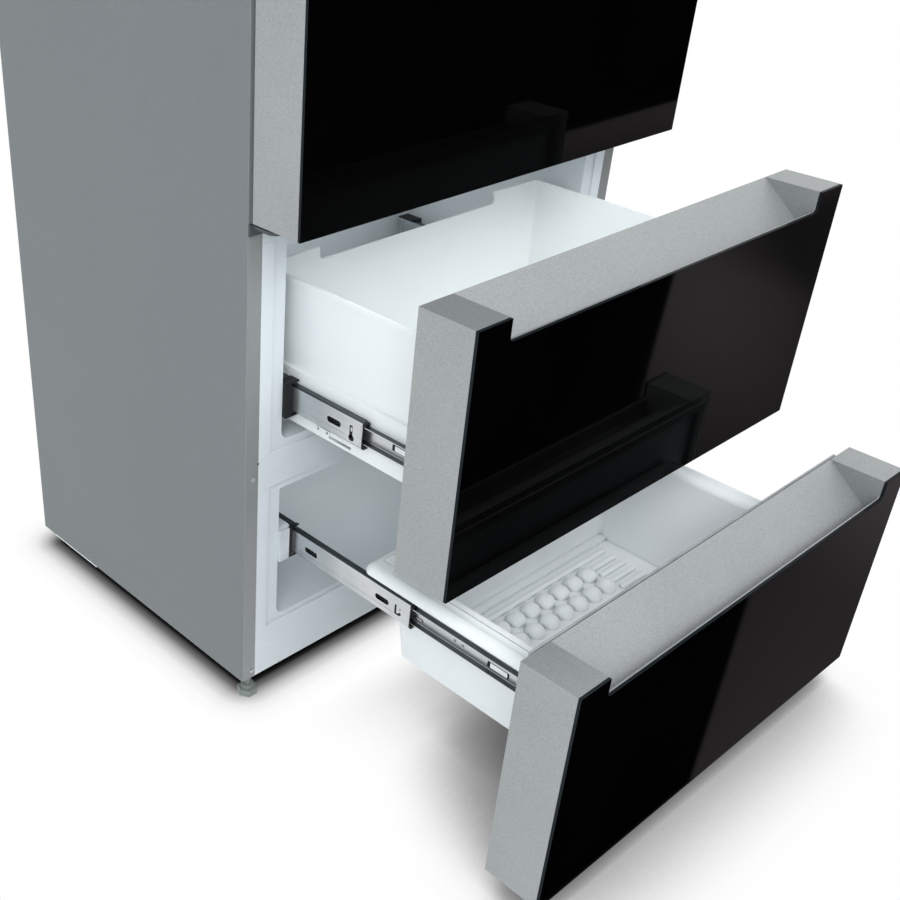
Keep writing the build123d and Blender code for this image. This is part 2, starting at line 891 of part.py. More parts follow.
def middle_hinge():
    """Bracket between door and upper drawer: a plate on the front fold, an arm and the lower pin."""
    middle = (upper_front_top + door_bottom) / 2
    low = middle - hinge_plate / 2 + hinge_gap
    high = low + hinge_plate
    x0 = -half_width + side_sheet
    x1 = x0 + bracket_plate_width
    base_top = high + hinge_gap
    base = block(x0, x1, -bracket_plate, 0, base_top - bracket_plate_height, base_top)
    arm = block(pivot_x - hinge_eye, pivot_x + hinge_eye, pivot_y, 0, low, high)
    eye = rod(pivot_x, pivot_y, low, high, hinge_eye)
    washer = rod(pivot_x, pivot_y, high, door_bottom - hinge_gap, pin_radius + bush_wall)
    pin = rod(pivot_x, pivot_y, high, high + pin_length, pin_radius)
    return base + arm + eye + washer + pin


# Slides


def c_section(half_height, start, end, thickness, bend):
    """A channel section open to the inside, drawn with its depth along X and its height along Y."""
    reach = end - start
    half = reach + past
    outer = RectangleRounded(2 * half, 2 * half_height, bend)
    inner = RectangleRounded(2 * (half - thickness), 2 * (half_height - thickness), bend - thickness)
    ring = Pos(start + half, 0) * (outer - inner)
    window = Pos(start + reach / 2, 0) * Rectangle(reach, 2 * half_height + past)
    return ring & window


def raceway(inner_half, outer_half):
    """Ball raceways above and below, in the same section frame."""
    width = raceway_end - raceway_start
    height = outer_half - inner_half
    place = (raceway_start + raceway_end) / 2
    middle = (inner_half + outer_half) / 2
    rib = Rectangle(width, height)
    return Pos(place, middle) * rib + Pos(place, -middle) * rib


def slide_bar(section, spacing, z, length):
    """A slide member on the right side: its section runs inwards from the spacing."""
    plane = Plane(origin=(spacing, 0, z), x_dir=(-1, 0, 0), z_dir=(0, 1, 0))
    return extrude(plane * section, amount=length)


def web_slot(spacing, z, y0, y1, height):
    """A round-ended slot through the webs of a slide."""
    radius = height / 2
    x0 = spacing - inner_web_face - past
    x1 = spacing + past
    bar = block(x0, x1, y0 + radius, y1 - radius, z - radius, z + radius)
    return bar + cross_rod(x0, x1, y0 + radius, z, radius) + cross_rod(x0, x1, y1 - radius, z, radius)


def cabinet_member(spacing, z, length):
    """Outer slide member, fixed to the cabinet."""
    section = c_section(slide_half_height, 0, slide_depth, slide_thickness, slide_bend)
    inner_edge = slide_half_height - slide_thickness
    section = section + raceway(middle_half_height + slide_running_gap, inner_edge)
    return slide_bar(section, spacing, z, length)


def middle_member(spacing, z, length):
    """Middle slide member, with its two slots and the catch near the front end."""
    start = slide_thickness + slide_running_gap
    end = slide_depth - slide_running_gap - slide_running_gap
    section = c_section(middle_half_height, start, end, slide_thickness, slide_bend)
    inner_edge = middle_half_height - slide_thickness
    section = section + raceway(inner_half_height + slide_running_gap, inner_edge)
    bar = slide_bar(section, spacing, z, length)
    catch = web_slot(spacing, z, catch_inset, catch_inset + catch_length, catch_height)
    for y in (front_slot_inset, rear_slot_inset):
        bar = bar - web_slot(spacing, z, y, y + slot_length, slot_height)
    return bar - catch


def inner_member(spacing, z, length):
    """Inner slide member, fixed to the drawer and open to the outside."""
    section = c_section(inner_half_height, 0, inner_depth, slide_thickness, inner_bend)
    plane = Plane(origin=(spacing - inner_web_face, 0, z), x_dir=(1, 0, 0), z_dir=(0, 1, 0))
    bar = extrude(plane * section, amount=length)
    for y in (window_inset, length - rear_window_inset - window_length):
        bar = bar - web_slot(spacing, z, y, y + window_length, slot_height)
    for y in (rivet_inset, rivet_inset + rivet_pitch, length - rear_window_inset):
        bar = bar - cross_rod(spacing - inner_web_face - past, spacing + past, y, z, rivet_radius)
    return bar


def bracket(spacing, z, y0, y1):
    """A plastic block between a cabinet member and the liner wall, hooked over the member."""
    high = slide_half_height + bracket_lip
    hook = spacing - slide_depth
    foot = block(spacing, opening_half, y0, y1, z - high, z + high)
    upper_hook = block(hook, spacing, y0, y1, z + slide_half_height, z + high)
    lower_hook = block(hook, spacing, y0, y1, z - high, z - slide_half_height)
    return foot + upper_hook + lower_hook


def slide_brackets():
    """All blocks at the ends of the cabinet members. The front ones below are thin plates."""
    upper = bracket(upper_slide_spacing, upper_slide_z, -bracket_overhang, bracket_length)
    rear = upper_travel - rear_bracket_length
    upper = upper + bracket(upper_slide_spacing, upper_slide_z, rear, upper_travel + bracket_lip)
    lower = bracket(lower_slide_spacing, lower_slide_z, -plate_overhang, land_step)
    rear = lower_travel - rear_bracket_length
    lower = lower + bracket(lower_slide_spacing, lower_slide_z, rear, lower_travel + bracket_lip)
    return both(upper) + both(lower)


# Upper drawer

upper_low = (upper_bin_floor_half, bin_front + bin_wall, upper_bin_floor_rear, upper_bin_bottom + bin_wall)
upper_high = (upper_bin_top_half, bin_front + bin_wall, upper_bin_rear, upper_bin_top)


def upper_bin():
    """White bin with a rim bead, a lowered back wall and a ledge that hangs on the carrier."""
    low_outer = grown(at_height(upper_low, upper_high, upper_bin_bottom), bin_wall, upper_bin_bottom)
    high_outer = grown(upper_high, bin_wall, upper_bin_top)
    outer = tapered_slab(low_outer, high_outer, upper_bin_corner + bin_wall)
    above = at_height(upper_low, upper_high, upper_bin_top + past)
    inner = tapered_slab(upper_low, above, upper_bin_corner)
    reach = bin_wall + upper_bin_rim_reach
    bead = grown(upper_high, reach, upper_bin_top)
    rim = rounded_slab(bead[0], bin_front + bin_wall / 2, bead[2], upper_bin_top - upper_bin_rim,
                       upper_bin_top, upper_bin_corner + reach)
    shelf_half = upper_slide_spacing - inner_web_face - slide_running_gap
    ledge_top = ledge_bottom + ledge_thickness
    ledge_front = bin_front + bin_wall + upper_bin_corner
    ledge = wide(shelf_half, ledge_front, upper_bin_floor_rear, ledge_bottom, ledge_top)
    back = wide(bin_notch_half, upper_bin_rear - bin_wall - past, upper_bin_rear + 2 * bin_wall + past,
                upper_bin_top - bin_notch_depth, upper_bin_top + past)
    back = fillet(back.edges().filter_by(Axis.Y).sort_by(Axis.Z)[:2], upper_bin_corner)
    return outer + rim + ledge - inner - back


def upper_carrier():
    """White frame that hangs between the inner slide members and carries the upper bin."""
    face = upper_slide_spacing - inner_web_face
    rear = upper_bin_floor_rear
    plate = block(face - carrier_sheet, face, front_rear, rear, carrier_bottom, ledge_bottom)
    seat = block(face - 2 * carrier_sheet, face, front_rear, rear, ledge_bottom - carrier_sheet, ledge_bottom)
    carrier = both(plate + seat)
    half = face - carrier_sheet
    low = carrier_bottom
    high = carrier_bottom + carrier_sheet
    for start in (front_rear, (rear - carrier_rail) / 2, rear - carrier_rail):
        carrier = carrier + wide(half, start, start + carrier_rail, low, high)
    slot_y = rear / 2
    slot_z = carrier_bottom + carrier_slot_raise
    slot = block(face - carrier_sheet - past, face + past, slot_y, slot_y + carrier_slot_length, slot_z,
                 slot_z + carrier_slot_height)
    tongue = wide(half, front_rear, front_rear + bin_front_gap, low, ledge_bottom)
    return carrier + tongue - both(slot)


# Lower drawer

tray_low = (tray_floor_half, lower_bin_front, tray_floor_rear, tray_floor)
tray_high = (mouth_half, lower_bin_front, mouth_rear, lower_bin_top)


def tub_shape(wall, z0, z1):
    """The tray's inner shape moved outwards by a wall, between two heights."""
    low = grown(at_height(tray_low, tray_high, z0), wall, z0)
    high = grown(at_height(tray_low, tray_high, z1), wall, z1)
    return tapered_slab(low, high, tray_corner + wall)


def mouth_slab(side, rear, front, z0, z1, corner):
    """A slab whose outline lies given distances outside the mouth of the tray."""
    return rounded_slab(mouth_half + side, lower_bin_front - front, mouth_rear + rear, z0, z1, corner)


def lower_bin():
    """White tub with a wide rolled rim and a shoulder that rests on the carrier rails."""
    top = lower_bin_top
    room = tray_sheet + tray_gap
    seat = tray_flange + rim_groove
    under = top - rim_top
    rim = mouth_slab(rim_reach, rim_rear_reach, mouth_front, top - rim_roll, top, rim_corner)
    rim = fillet(rim.faces().sort_by(Axis.Z)[-1].outer_wire().edges(), rim_round)
    hollow = mouth_slab(rim_reach - bin_wall, rim_rear_reach - bin_wall, mouth_front - bin_wall,
                        under - rim_roll, under, rim_corner - bin_wall)
    hollow = fillet(hollow.faces().sort_by(Axis.Z)[-1].outer_wire().edges(), rim_roll - rim_top)
    tub = tub_shape(room + bin_wall, lower_bin_bottom, top - tray_sheet)
    shoulder_half = lower_slide_spacing - inner_web_face - slide_running_gap
    shoulder = wide(shoulder_half, lower_bin_front, shoulder_rear, shoulder_bottom, top - tray_sheet)
    rebate = mouth_slab(seat, seat, seat, top - tray_sheet, top + past, tray_corner + rim_groove)
    inside = tub_shape(room, tray_floor - tray_sheet, top + past)
    valley_x = mouth_half + valley_inset
    valley_z = top + valley_radius - valley_depth
    valley_y = mouth_rear - valley_inset
    valley = deep_rod(valley_x, lower_bin_front - mouth_front - past, valley_y, valley_z, valley_radius)
    valley = valley + Pos(valley_x, valley_y, valley_z) * Rot(90, 0, 0) * Sphere(valley_radius)
    body = (rim - hollow) + tub + shoulder - both(valley) - rebate - inside
    seat_face = body.faces().filter_by(Axis.Z).group_by(Axis.Z)[-2].sort_by(SortBy.AREA)[-1]
    return fillet(seat_face.inner_wires()[0].edges(), tray_edge - tray_sheet)


def rounded_bar(x0, x1, y):
    """A bar along X on the tray floor, with round ends and a rounded top."""
    outline = SlotOverall(x1 - x0, bar_width)
    bar = extrude(Pos((x0 + x1) / 2, y, tray_floor) * outline, amount=bar_height)
    return fillet(bar.faces().sort_by(Axis.Z)[-1].edges(), bar_round)


def tray_bars():
    """One long bar across the rear of the tray and short ones along both sides."""
    rear = tray_floor_rear - long_bar_inset
    first = rear - first_bar_pitch
    bars = rounded_bar(-bar_outer, bar_outer, rear)
    count = int((first - lower_bin_front - bar_front_margin) // bar_pitch) + 1
    for row in range(count):
        bars = bars + both(rounded_bar(bar_inner, bar_outer, first - row * bar_pitch))
    return bars


def tray_domes():
    """Rows of domes between the short bars."""
    domes = None
    columns = int(2 * (bar_inner - dome_radius) // dome_pitch) + 1
    for row in range(dome_rows):
        y = tray_floor_rear - dome_inset - row * dome_row_pitch
        for column in range(columns):
            x = (column - (columns - 1) / 2) * dome_pitch
            dome = Pos(x, y, tray_floor - dome_sink) * Rot(90, 0, 0) * Sphere(dome_radius)
            domes = dome if domes is None else domes + dome
    above = wide(tray_floor_half, lower_bin_front, tray_floor_rear, tray_floor, lower_bin_top)
    return domes & above


def lower_bin_insert():
    """Tray that hangs in the tub: a flange round its mouth, a floor with a step, bars and domes."""
    top = lower_bin_top
    shell = tub_shape(tray_sheet, tray_floor - tray_sheet, top)
    flange = mouth_slab(tray_flange, tray_flange, tray_flange, top - tray_sheet, top, tray_corner)
    body = shell + flange
    underside = body.faces().filter_by(Axis.Z).group_by(Axis.Z)[-2][0]
    body = fillet(underside.inner_wires()[0].edges(), tray_edge - tray_sheet)
    tray = body - tub_shape(0, tray_floor, top + past)
    mouth = tray.faces().sort_by(Axis.Z)[-1].inner_wires()[0]
    tray = fillet(mouth.edges(), tray_edge)
    sunk = tray_sheet / 2
    step = tub_shape(sunk, tray_floor - sunk, tray_floor + step_height)
    step = step & wide(half_width, tray_floor_rear - step_depth, mouth_rear, 0, top)
    return tray + step + tray_bars() + tray_domes()


def lower_carrier():
    """Two angle rails on the inner slide members, joined to the front by a strip."""
    face = lower_slide_spacing - inner_web_face
    rear = shoulder_rear
    inner_edge = face - rail_plate - slide_thickness
    low = shoulder_bottom - rail_plate_height
    plate = block(face - rail_plate, face, front_rear, rear, low, shoulder_bottom)
    seat = block(inner_edge, face, front_rear, rear, shoulder_bottom - rail_plate, shoulder_bottom)
    strip = wide(face, front_rear, front_rear + bin_front_gap, low, shoulder_bottom)
    return both(plate + seat) + strip


# Fridge interior


def shelves():
    """Glass shelves on their ledges."""
    plates = None
    for level in shelf_heights():
        half = opening_half - shelf_side_gap
        plate = rounded_slab(half, shelf_front, fridge_depth - shelf_rear_gap, level, level + shelf_thickness,
                             shelf_thickness)
        plates = plate if plates is None else plates + plate
    return plates


def crisper_cover():
    """Plate over the two crispers, on its own ledges."""
    low = crisper_cover_bottom()
    half = opening_half - shelf_side_gap
    return rounded_slab(half, shelf_front, fridge_depth - shelf_rear_gap, low, low + shelf_thickness,
                        shelf_thickness)


def crispers():
    """Two open boxes side by side on the fridge floor."""
    left = crisper_gap / 2
    right = opening_half - liner_corner
    centre = (left + right) / 2
    half = (right - left) / 2
    low = fridge_opening_bottom
    high = low + crisper_height
    front = shelf_front
    rear = fridge_depth - shelf_rear_gap
    outer = rounded_slab(half, front, rear, low, high, crisper_corner)
    inner = rounded_slab(half - crisper_wall, front + crisper_wall, rear - crisper_wall, low + crisper_wall,
                         high + past, crisper_corner - crisper_wall)
    grip = wide(half - grip_inset, front - grip_reach, front, high - grip_height, high)
    return both(Pos(centre, 0, 0) * (outer + grip - inner))


def air_duct_panel():
    """Cover of the cold-air duct on the fridge rear wall, with vents."""
    half = opening_half - duct_side_gap
    low = fridge_opening_bottom + duct_bottom_gap
    high = fridge_opening_top - duct_top_gap
    front = fridge_depth - duct_depth
    body = wide(half, front, fridge_depth, low, high)
    room = wide(half - liner_wall, front + liner_wall, fridge_depth + past, low + liner_wall,
                high - liner_wall)
    panel = body - room
    vent_offset = half - vent_inset - vent_length
    count = int((high - low - vent_pitch / 2) // vent_pitch) + 1
    for row in range(count):
        z = low + vent_pitch / 2 + row * vent_pitch
        vent = block(vent_offset, vent_offset + vent_length, front - past, front + liner_wall + past, z,
                     z + vent_height)
        panel = panel - both(vent)
    return panel


def ceiling_light():
    """Flat light cover under the fridge ceiling."""
    y = fridge_depth / 2
    half = light_length / 2
    low = fridge_opening_top - light_drop
    body = wide(half, y - light_depth / 2, y + light_depth / 2, low, fridge_opening_top)
    return fillet(body.edges().filter_by(Axis.Z), light_drop)


# Cooling parts


def evaporator_cover():
    """Cover in front of the evaporator, with the fan hole and a return grille."""
    y0 = evaporator_cover_y
    y1 = evaporator_cover_y + liner_wall
    low = upper_opening_bottom + liner_corner
    plate = wide(opening_half, y0, y1, low, upper_opening_top)
    plate = plate - deep_rod(0, y0 - past, y1 + past, fan_z, fan_radius + fan_tip_gap)
    ring = deep_rod(0, y1, y1 + fan_depth, fan_z, fan_radius + fan_tip_gap + liner_wall)
    ring = ring - deep_rod(0, y1 - past, y1 + fan_depth + past, fan_z, fan_radius + fan_tip_gap)
    arm_y = y1 + fan_depth + fan_end_gap
    arm_half = fan_radius + fan_tip_gap + liner_wall
    bar = wide(arm_half, arm_y, arm_y + fan_arm, fan_z - fan_arm_half, fan_z + fan_arm_half)
    post = block(arm_half - fan_arm, arm_half, y1, arm_y + fan_arm, fan_z - fan_arm, fan_z + fan_arm)
    bearing = deep_rod(0, arm_y - past, arm_y + fan_arm + past, fan_z, fan_shaft_radius + pin_clearance)
    cover = plate + ring + bar + both(post) - bearing
    for column in range(grille_slots):
        x = (column - (grille_slots - 1) / 2) * grille_pitch
        slot = block(x - grille_width / 2, x + grille_width / 2, y0 - past, y1 + past, low + grille_raise,
                     low + grille_raise + grille_height)
        cover = cover - slot
    return cover


def evaporator():
    """Serpentine tube through a stack of fins, hung from the rear wall of the liner."""
    half = opening_half - evaporator_side_gap
    rear = upper_depth - fin_margin
    bottom = (upper_opening_bottom + upper_opening_top - (evaporator_lines - 1) * evaporator_pitch) / 2
    body = None
    for row in range(evaporator_rows):
        y = rear - fin_margin - row * evaporator_pitch
        for line in range(evaporator_lines):
            z = bottom + line * evaporator_pitch
            tube = cross_rod(-half, half, y, z, evaporator_tube)
            body = tube if body is None else body + tube
        for line in range(evaporator_lines - 1):
            z = bottom + (line + 0.5) * evaporator_pitch
            side = 1 if line % 2 == 0 else -1
            turn = Pos(side * half, y, z) * Rot(90, 0, 0) * Torus(evaporator_pitch / 2, evaporator_tube)
            outside = block(*sorted((side * half, side * (half + 2 * evaporator_pitch))), y - past, y + past,
                            z - evaporator_pitch, z + evaporator_pitch)
            body = body + (turn & outside)
    low = bottom - fin_margin
    high = bottom + (evaporator_lines - 1) * evaporator_pitch + fin_margin
    front = rear - 2 * fin_margin - (evaporator_rows - 1) * evaporator_pitch
    count = int(2 * half // fin_pitch)
    for index in range(count):
        x = (index - (count - 1) / 2) * fin_pitch
        body = body + block(x - fin_thickness / 2, x + fin_thickness / 2, front, upper_depth, low, high)
    return body


def evaporator_fan():
    """Fan rotor: hub, pitched blades and shaft."""
    hub = deep_rod(0, fan_y, fan_y + fan_depth - fan_tip_gap, fan_z, fan_hub_radius)
    shaft_end = evaporator_cover_y + liner_wall + fan_depth + fan_end_gap + fan_arm
    shaft = deep_rod(0, fan_y, shaft_end, fan_z, fan_shaft_radius)
    rotor = hub + shaft
    middle = fan_y + (fan_depth - fan_tip_gap) / 2
    length = fan_radius - fan_hub_radius / 2
    tip = deep_rod(0, fan_y - past, fan_y + fan_depth + past, fan_z, fan_radius)
    band = wide(fan_radius + past, fan_y, fan_y + fan_depth - fan_tip_gap, fan_z - fan_radius - past,
                fan_z + fan_radius + past)
    for index in range(fan_blades):
        angle = 360 * index / fan_blades
        blade = Pos(fan_hub_radius / 2 + length / 2, 0, 0) * Rot(fan_blade_pitch, 0, 0)
        blade = blade * Box(length + past, fan_blade_width, fan_blade_thickness)
        blade = Pos(0, middle, fan_z) * Rot(0, angle, 0) * blade
        rotor = rotor + (blade & tip & band)
    return rotor


compressor_y = cabinet_depth - machine_room_depth / 2
compressor_foot = cabinet_bottom + pan_sheet + grommet_height


def compressor_corners():
    """Places of the four grommets under the compressor plate."""
    dx = compressor_plate_length / 2 - grommet_radius
    dy = compressor_plate_width / 2 - grommet_radius
    return [(compressor_offset + sx * dx, compressor_y + sy * dy) for sx in (-1, 1) for sy in (-1, 1)]


def compressor():
    """Hermetic compressor: bulged shell on a foot plate, with its terminal box and pipe stubs."""
    low = compressor_foot
    top = low + compressor_plate
    left = compressor_offset - compressor_plate_length / 2
    right = compressor_offset + compressor_plate_length / 2
    front = compressor_y - compressor_plate_width / 2
    rear = compressor_y + compressor_plate_width / 2
    plate = block(left, right, front, rear, low, top)
    for x, y in compressor_corners():
        plate = plate - rod(x, y, low - past, top + past, grommet_stud + grommet_flange)
    shell = rod(compressor_offset, compressor_y, top, top + compressor_height, compressor_radius)
    shell = fillet(shell.edges(), compressor_bulge)
    box_x = compressor_offset + compressor_radius
    terminal_top = top + terminal_raise + terminal_height
    terminal = block(box_x - terminal_depth, box_x + terminal_reach, compressor_y - terminal_half,
                     compressor_y + terminal_half, top + terminal_raise, terminal_top)
    height = top + compressor_height / 2
    stub_x = compressor_offset - compressor_radius - pipe_length
    pipes = cross_rod(stub_x, compressor_offset, compressor_y + pipe_offset, height, pipe_radius)
    pipes = pipes + cross_rod(stub_x, compressor_offset, compressor_y - pipe_offset, height, pipe_radius)
    return plate + shell + terminal + pipes


def compressor_grommets():
    """Rubber grommets on studs between the pan and the compressor plate."""
    low = cabinet_bottom + pan_sheet
    pieces = None
    for x, y in compressor_corners():
        cushion = rod(x, y, low, compressor_foot, grommet_radius)
        neck = rod(x, y, compressor_foot, compressor_foot + compressor_plate + grommet_flange,
                   grommet_stud + grommet_flange)
        grommet = cushion + neck
        pieces = grommet if pieces is None else pieces + grommet
    return pieces


def machine_room_cover():
    """Louvred sheet that closes the machine room, with the gland of the mains lead."""
    low = cabinet_bottom + pan_sheet
    cover = wide(inside_half, rear_inside, cabinet_depth, low, machine_room_top)
    bottom = low + louvre_gap
    span = (louvre_columns - 1) / 2
    for row in range(louvre_rows):
        z = bottom + row * louvre_pitch
        for column in range(louvre_columns):
            x = (column - span) * louvre_spacing
            slot = block(x - louvre_length / 2, x + louvre_length / 2, rear_inside - past,
                         cabinet_depth + past, z, z + louvre_height)
            cover = cover - slot
    gland_z = low + gland_raise
    gland_y = cabinet_depth - gland_length
    gland = deep_rod(gland_offset, gland_y, cabinet_depth, gland_z, gland_radius)
    bore = deep_rod(gland_offset, gland_y - past, cabinet_depth + past, gland_z, gland_bore)
    return cover + gland - bore


# Feet and rollers


def foot():
    """Right front foot: a hexagonal pad, a round collar and the screwed stem."""
    x = half_width - foot_inset
    outline = RegularPolygon(foot_flats / 2, 6, major_radius=False)
    pad = extrude(Pos(x, foot_setback, 0) * outline, amount=foot_pad_height)
    pad = chamfer(pad.faces().sort_by(Axis.Z)[-1].edges(), foot_chamfer)
    collar_top = foot_pad_height + foot_collar_height
    collar = rod(x, foot_setback, foot_pad_height, collar_top, foot_collar_radius)
    stem_top = cabinet_bottom + pan_sheet + foot_nut_height + foot_stem_rise
    stem = rod(x, foot_setback, collar_top, stem_top, foot_stem_radius)
    return pad + collar + stem


def rear_roller():
    """Right rear roller with a groove round its middle."""
    x = half_width - roller_inset
    y = cabinet_depth - roller_setback
    half = roller_width / 2
    body = cross_rod(x - half, x + half, y, roller_radius, roller_radius)
    body = chamfer(body.edges(), roller_groove / 2)
    bore = cross_rod(x - half - past, x + half + past, y, roller_radius, axle_radius + axle_clearance)
    groove = cross_rod(x - roller_groove, x + roller_groove, y, roller_radius, roller_radius + past)
    core = cross_rod(x - half, x + half, y, roller_radius, roller_radius - roller_groove)
    return body - (groove - core) - bore


def roller_axles():
    """Axles fixed in the roller forks."""
    x = half_width - roller_inset
    y = cabinet_depth - roller_setback
    reach = roller_width / 2 + fork_gap + fork_sheet
    pin = cross_rod(x - reach, x + reach, y, roller_radius, axle_radius)
    head = cross_rod(x + reach, x + reach + axle_head, y, roller_radius, axle_radius + axle_head)
    return both(pin + head)


# All nodes, each with how far its body is drawn out at rest

fixed = 0.0
upper_out = upper_extension
lower_out = lower_extension
panel = side_panel()
liners = [fridge_liner(), upper_liner(), lower_liner()]
rails = [rail(lower_rail_bottom), rail(upper_rail_bottom), base_front_panel()]
pan = base_pan()
roof = top_panel()
rear_sheet = rear_panel()
foam_neighbours = [panel, mirrored(panel), roof, pan, rear_sheet] + liners + rails
gasket_low = upper_front_bottom + gasket_inset
gasket_high = upper_front_top - gasket_inset

nodes = {
    "side_panel_left": (mirrored(panel), fixed),
    "side_panel_right": (panel, fixed),
    "top_panel": (roof, fixed),
    "rear_panel": (rear_sheet, fixed),
    "base_pan": (pan, fixed),
    "insulation_foam": (insulation_foam(foam_neighbours), fixed),
    "fridge_liner": (liners[0], fixed),
    "upper_compartment_liner": (liners[1], fixed),
    "lower_compartment_liner": (liners[2], fixed),
    "lower_mullion": (rails[0], fixed),
    "upper_mullion": (rails[1], fixed),
    "base_front_panel": (rails[2], fixed),
    "top_hinge": (top_hinge(), fixed),
    "top_hinge_cover": (top_hinge_cover(), fixed),
    "middle_hinge": (middle_hinge(), fixed),
    "foot_left": (mirrored(foot()), fixed),
    "foot_right": (foot(), fixed),
    "rear_roller_left": (mirrored(rear_roller()), fixed),
    "rear_roller_right": (rear_roller(), fixed),
    "roller_axles": (roller_axles(), fixed),
    "compressor": (compressor(), fixed),
    "compressor_grommets": (compressor_grommets(), fixed),
    "machine_room_cover": (machine_room_cover(), fixed),
    "evaporator": (evaporator(), fixed),
    "evaporator_cover": (evaporator_cover(), fixed),
    "evaporator_fan": (evaporator_fan(), fixed),
    "air_duct_panel": (air_duct_panel(), fixed),
    "ceiling_light": (ceiling_light(), fixed),
    "fridge_shelves": (shelves(), fixed),
    "crisper_cover": (crisper_cover(), fixed),
    "crispers": (crispers(), fixed),
    "door_frame": (door_frame(), fixed),
    "door_glass": (door_glass(), fixed),
    "door_foam": (door_foam(), fixed),
    "door_liner": (door_liner(), fixed),
    "door_gasket": (gasket(door_bottom + gasket_inset, top_land_top - top_gasket_drop), fixed),
    "door_bin_lower": (door_bin(0), fixed),
    "door_bin_middle": (door_bin(1), fixed),
    "door_bin_upper": (door_bin(2), fixed),
    "upper_front_frame": (drawer_frame(upper_front_bottom, upper_front_top), upper_out),
    "upper_front_glass": (drawer_glass(upper_front_bottom, upper_front_top), upper_out),
    "upper_front_foam": (drawer_foam(upper_front_bottom, upper_front_top), upper_out),
    "upper_front_panel": (drawer_panel(upper_front_bottom, upper_front_top), upper_out),
    "upper_gasket": (gasket(gasket_low, gasket_high), upper_out),
    "upper_bin": (upper_bin(), upper_out),
    "upper_carrier": (upper_carrier(), upper_out),
    "lower_front_frame": (drawer_frame(lower_front_bottom, lower_front_top), lower_out),
    "lower_front_glass": (drawer_glass(lower_front_bottom, lower_front_top), lower_out),
    "lower_front_foam": (drawer_foam(lower_front_bottom, lower_front_top), lower_out),
    "lower_front_panel": (drawer_panel(lower_front_bottom, lower_front_top), lower_out),
    "lower_gasket": (gasket(sill_bottom + sill_gasket_raise, lower_front_top - gasket_inset), lower_out),
    "lower_bin": (lower_bin(), lower_out),
    "lower_bin_insert": (lower_bin_insert(), lower_out),
    "lower_carrier": (lower_carrier(), lower_out),
    "slide_cabinet_members": (
        both(cabinet_member(upper_slide_spacing, upper_slide_z, upper_travel))
        + both(cabinet_member(lower_slide_spacing, lower_slide_z, lower_travel)),
        fixed,
    ),
    "slide_end_brackets": (slide_brackets(), fixed),
    "upper_slide_middle": (
        both(middle_member(upper_slide_spacing, upper_slide_z, upper_travel)),
        upper_out / 2,
    ),
    "upper_slide_inner": (
        both(inner_member(upper_slide_spacing, upper_slide_z, upper_travel)),
        upper_out,
    ),
    "lower_slide_middle": (
        both(middle_member(lower_slide_spacing, lower_slide_z, lower_travel)),
        lower_out / 2,
    ),
    "lower_slide_inner": (
        both(inner_member(lower_slide_spacing, lower_slide_z, lower_travel)),
        lower_out,
    ),
}

os.makedirs("parts", exist_ok=True)
for name, (shape, drawn_out) in nodes.items():
    placed = Pos(0, centre_shift - drawn_out, 0) * shape
    export_step(placed, f"parts/{name}.step")
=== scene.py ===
import math

import bmesh
import bpy
from mathutils import Matrix, Vector


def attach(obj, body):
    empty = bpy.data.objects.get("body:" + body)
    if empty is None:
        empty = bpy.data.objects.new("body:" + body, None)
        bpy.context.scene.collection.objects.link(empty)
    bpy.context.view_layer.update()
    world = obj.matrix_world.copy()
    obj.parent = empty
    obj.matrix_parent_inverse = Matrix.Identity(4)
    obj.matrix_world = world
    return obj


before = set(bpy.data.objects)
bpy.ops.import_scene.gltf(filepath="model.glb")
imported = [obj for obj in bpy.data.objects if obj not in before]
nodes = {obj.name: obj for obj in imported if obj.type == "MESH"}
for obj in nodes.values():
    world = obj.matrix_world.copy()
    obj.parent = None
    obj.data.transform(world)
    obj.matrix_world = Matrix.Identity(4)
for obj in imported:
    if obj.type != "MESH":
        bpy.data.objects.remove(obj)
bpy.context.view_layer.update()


# Colours and shader maths


def paint(red, green, blue):
    """A screen colour, 0 to 255 each, turned into a shader's linear values by the sRGB curve."""
    shares = [value / 255 for value in (red, green, blue)]
    linear = [s / 12.92 if s <= 0.04045 else ((s + 0.055) / 1.055) ** 2.4 for s in shares]
    return (*linear, 1.0)


def grey(value):
    """A linear grey."""
    return (value, value, value, 1)


class Signal:
    """An output of a shader node. Arithmetic on it adds Math nodes."""

    def __init__(self, shading, socket):
        self.shading = shading
        self.socket = socket

    def __add__(self, other):
        return self.shading.maths("ADD", self, other)

    def __radd__(self, other):
        return self.shading.maths("ADD", other, self)

    def __sub__(self, other):
        return self.shading.maths("SUBTRACT", self, other)

    def __rsub__(self, other):
        return self.shading.maths("SUBTRACT", other, self)

    def __mul__(self, other):
        return self.shading.maths("MULTIPLY", self, other)

    def __rmul__(self, other):
        return self.shading.maths("MULTIPLY", other, self)

    def __truediv__(self, other):
        return self.shading.maths("DIVIDE", self, other)

    def __pow__(self, other):
        return self.shading.maths("POWER", self, other)

    def __gt__(self, other):
        return self.shading.maths("GREATER_THAN", self, other)

    def __lt__(self, other):
        return self.shading.maths("LESS_THAN", self, other)

    def __abs__(self):
        return self.shading.maths("ABSOLUTE", self)

    def part(self, name):
        """Another output of the same node."""
        return Signal(self.shading, self.socket.node.outputs[name])


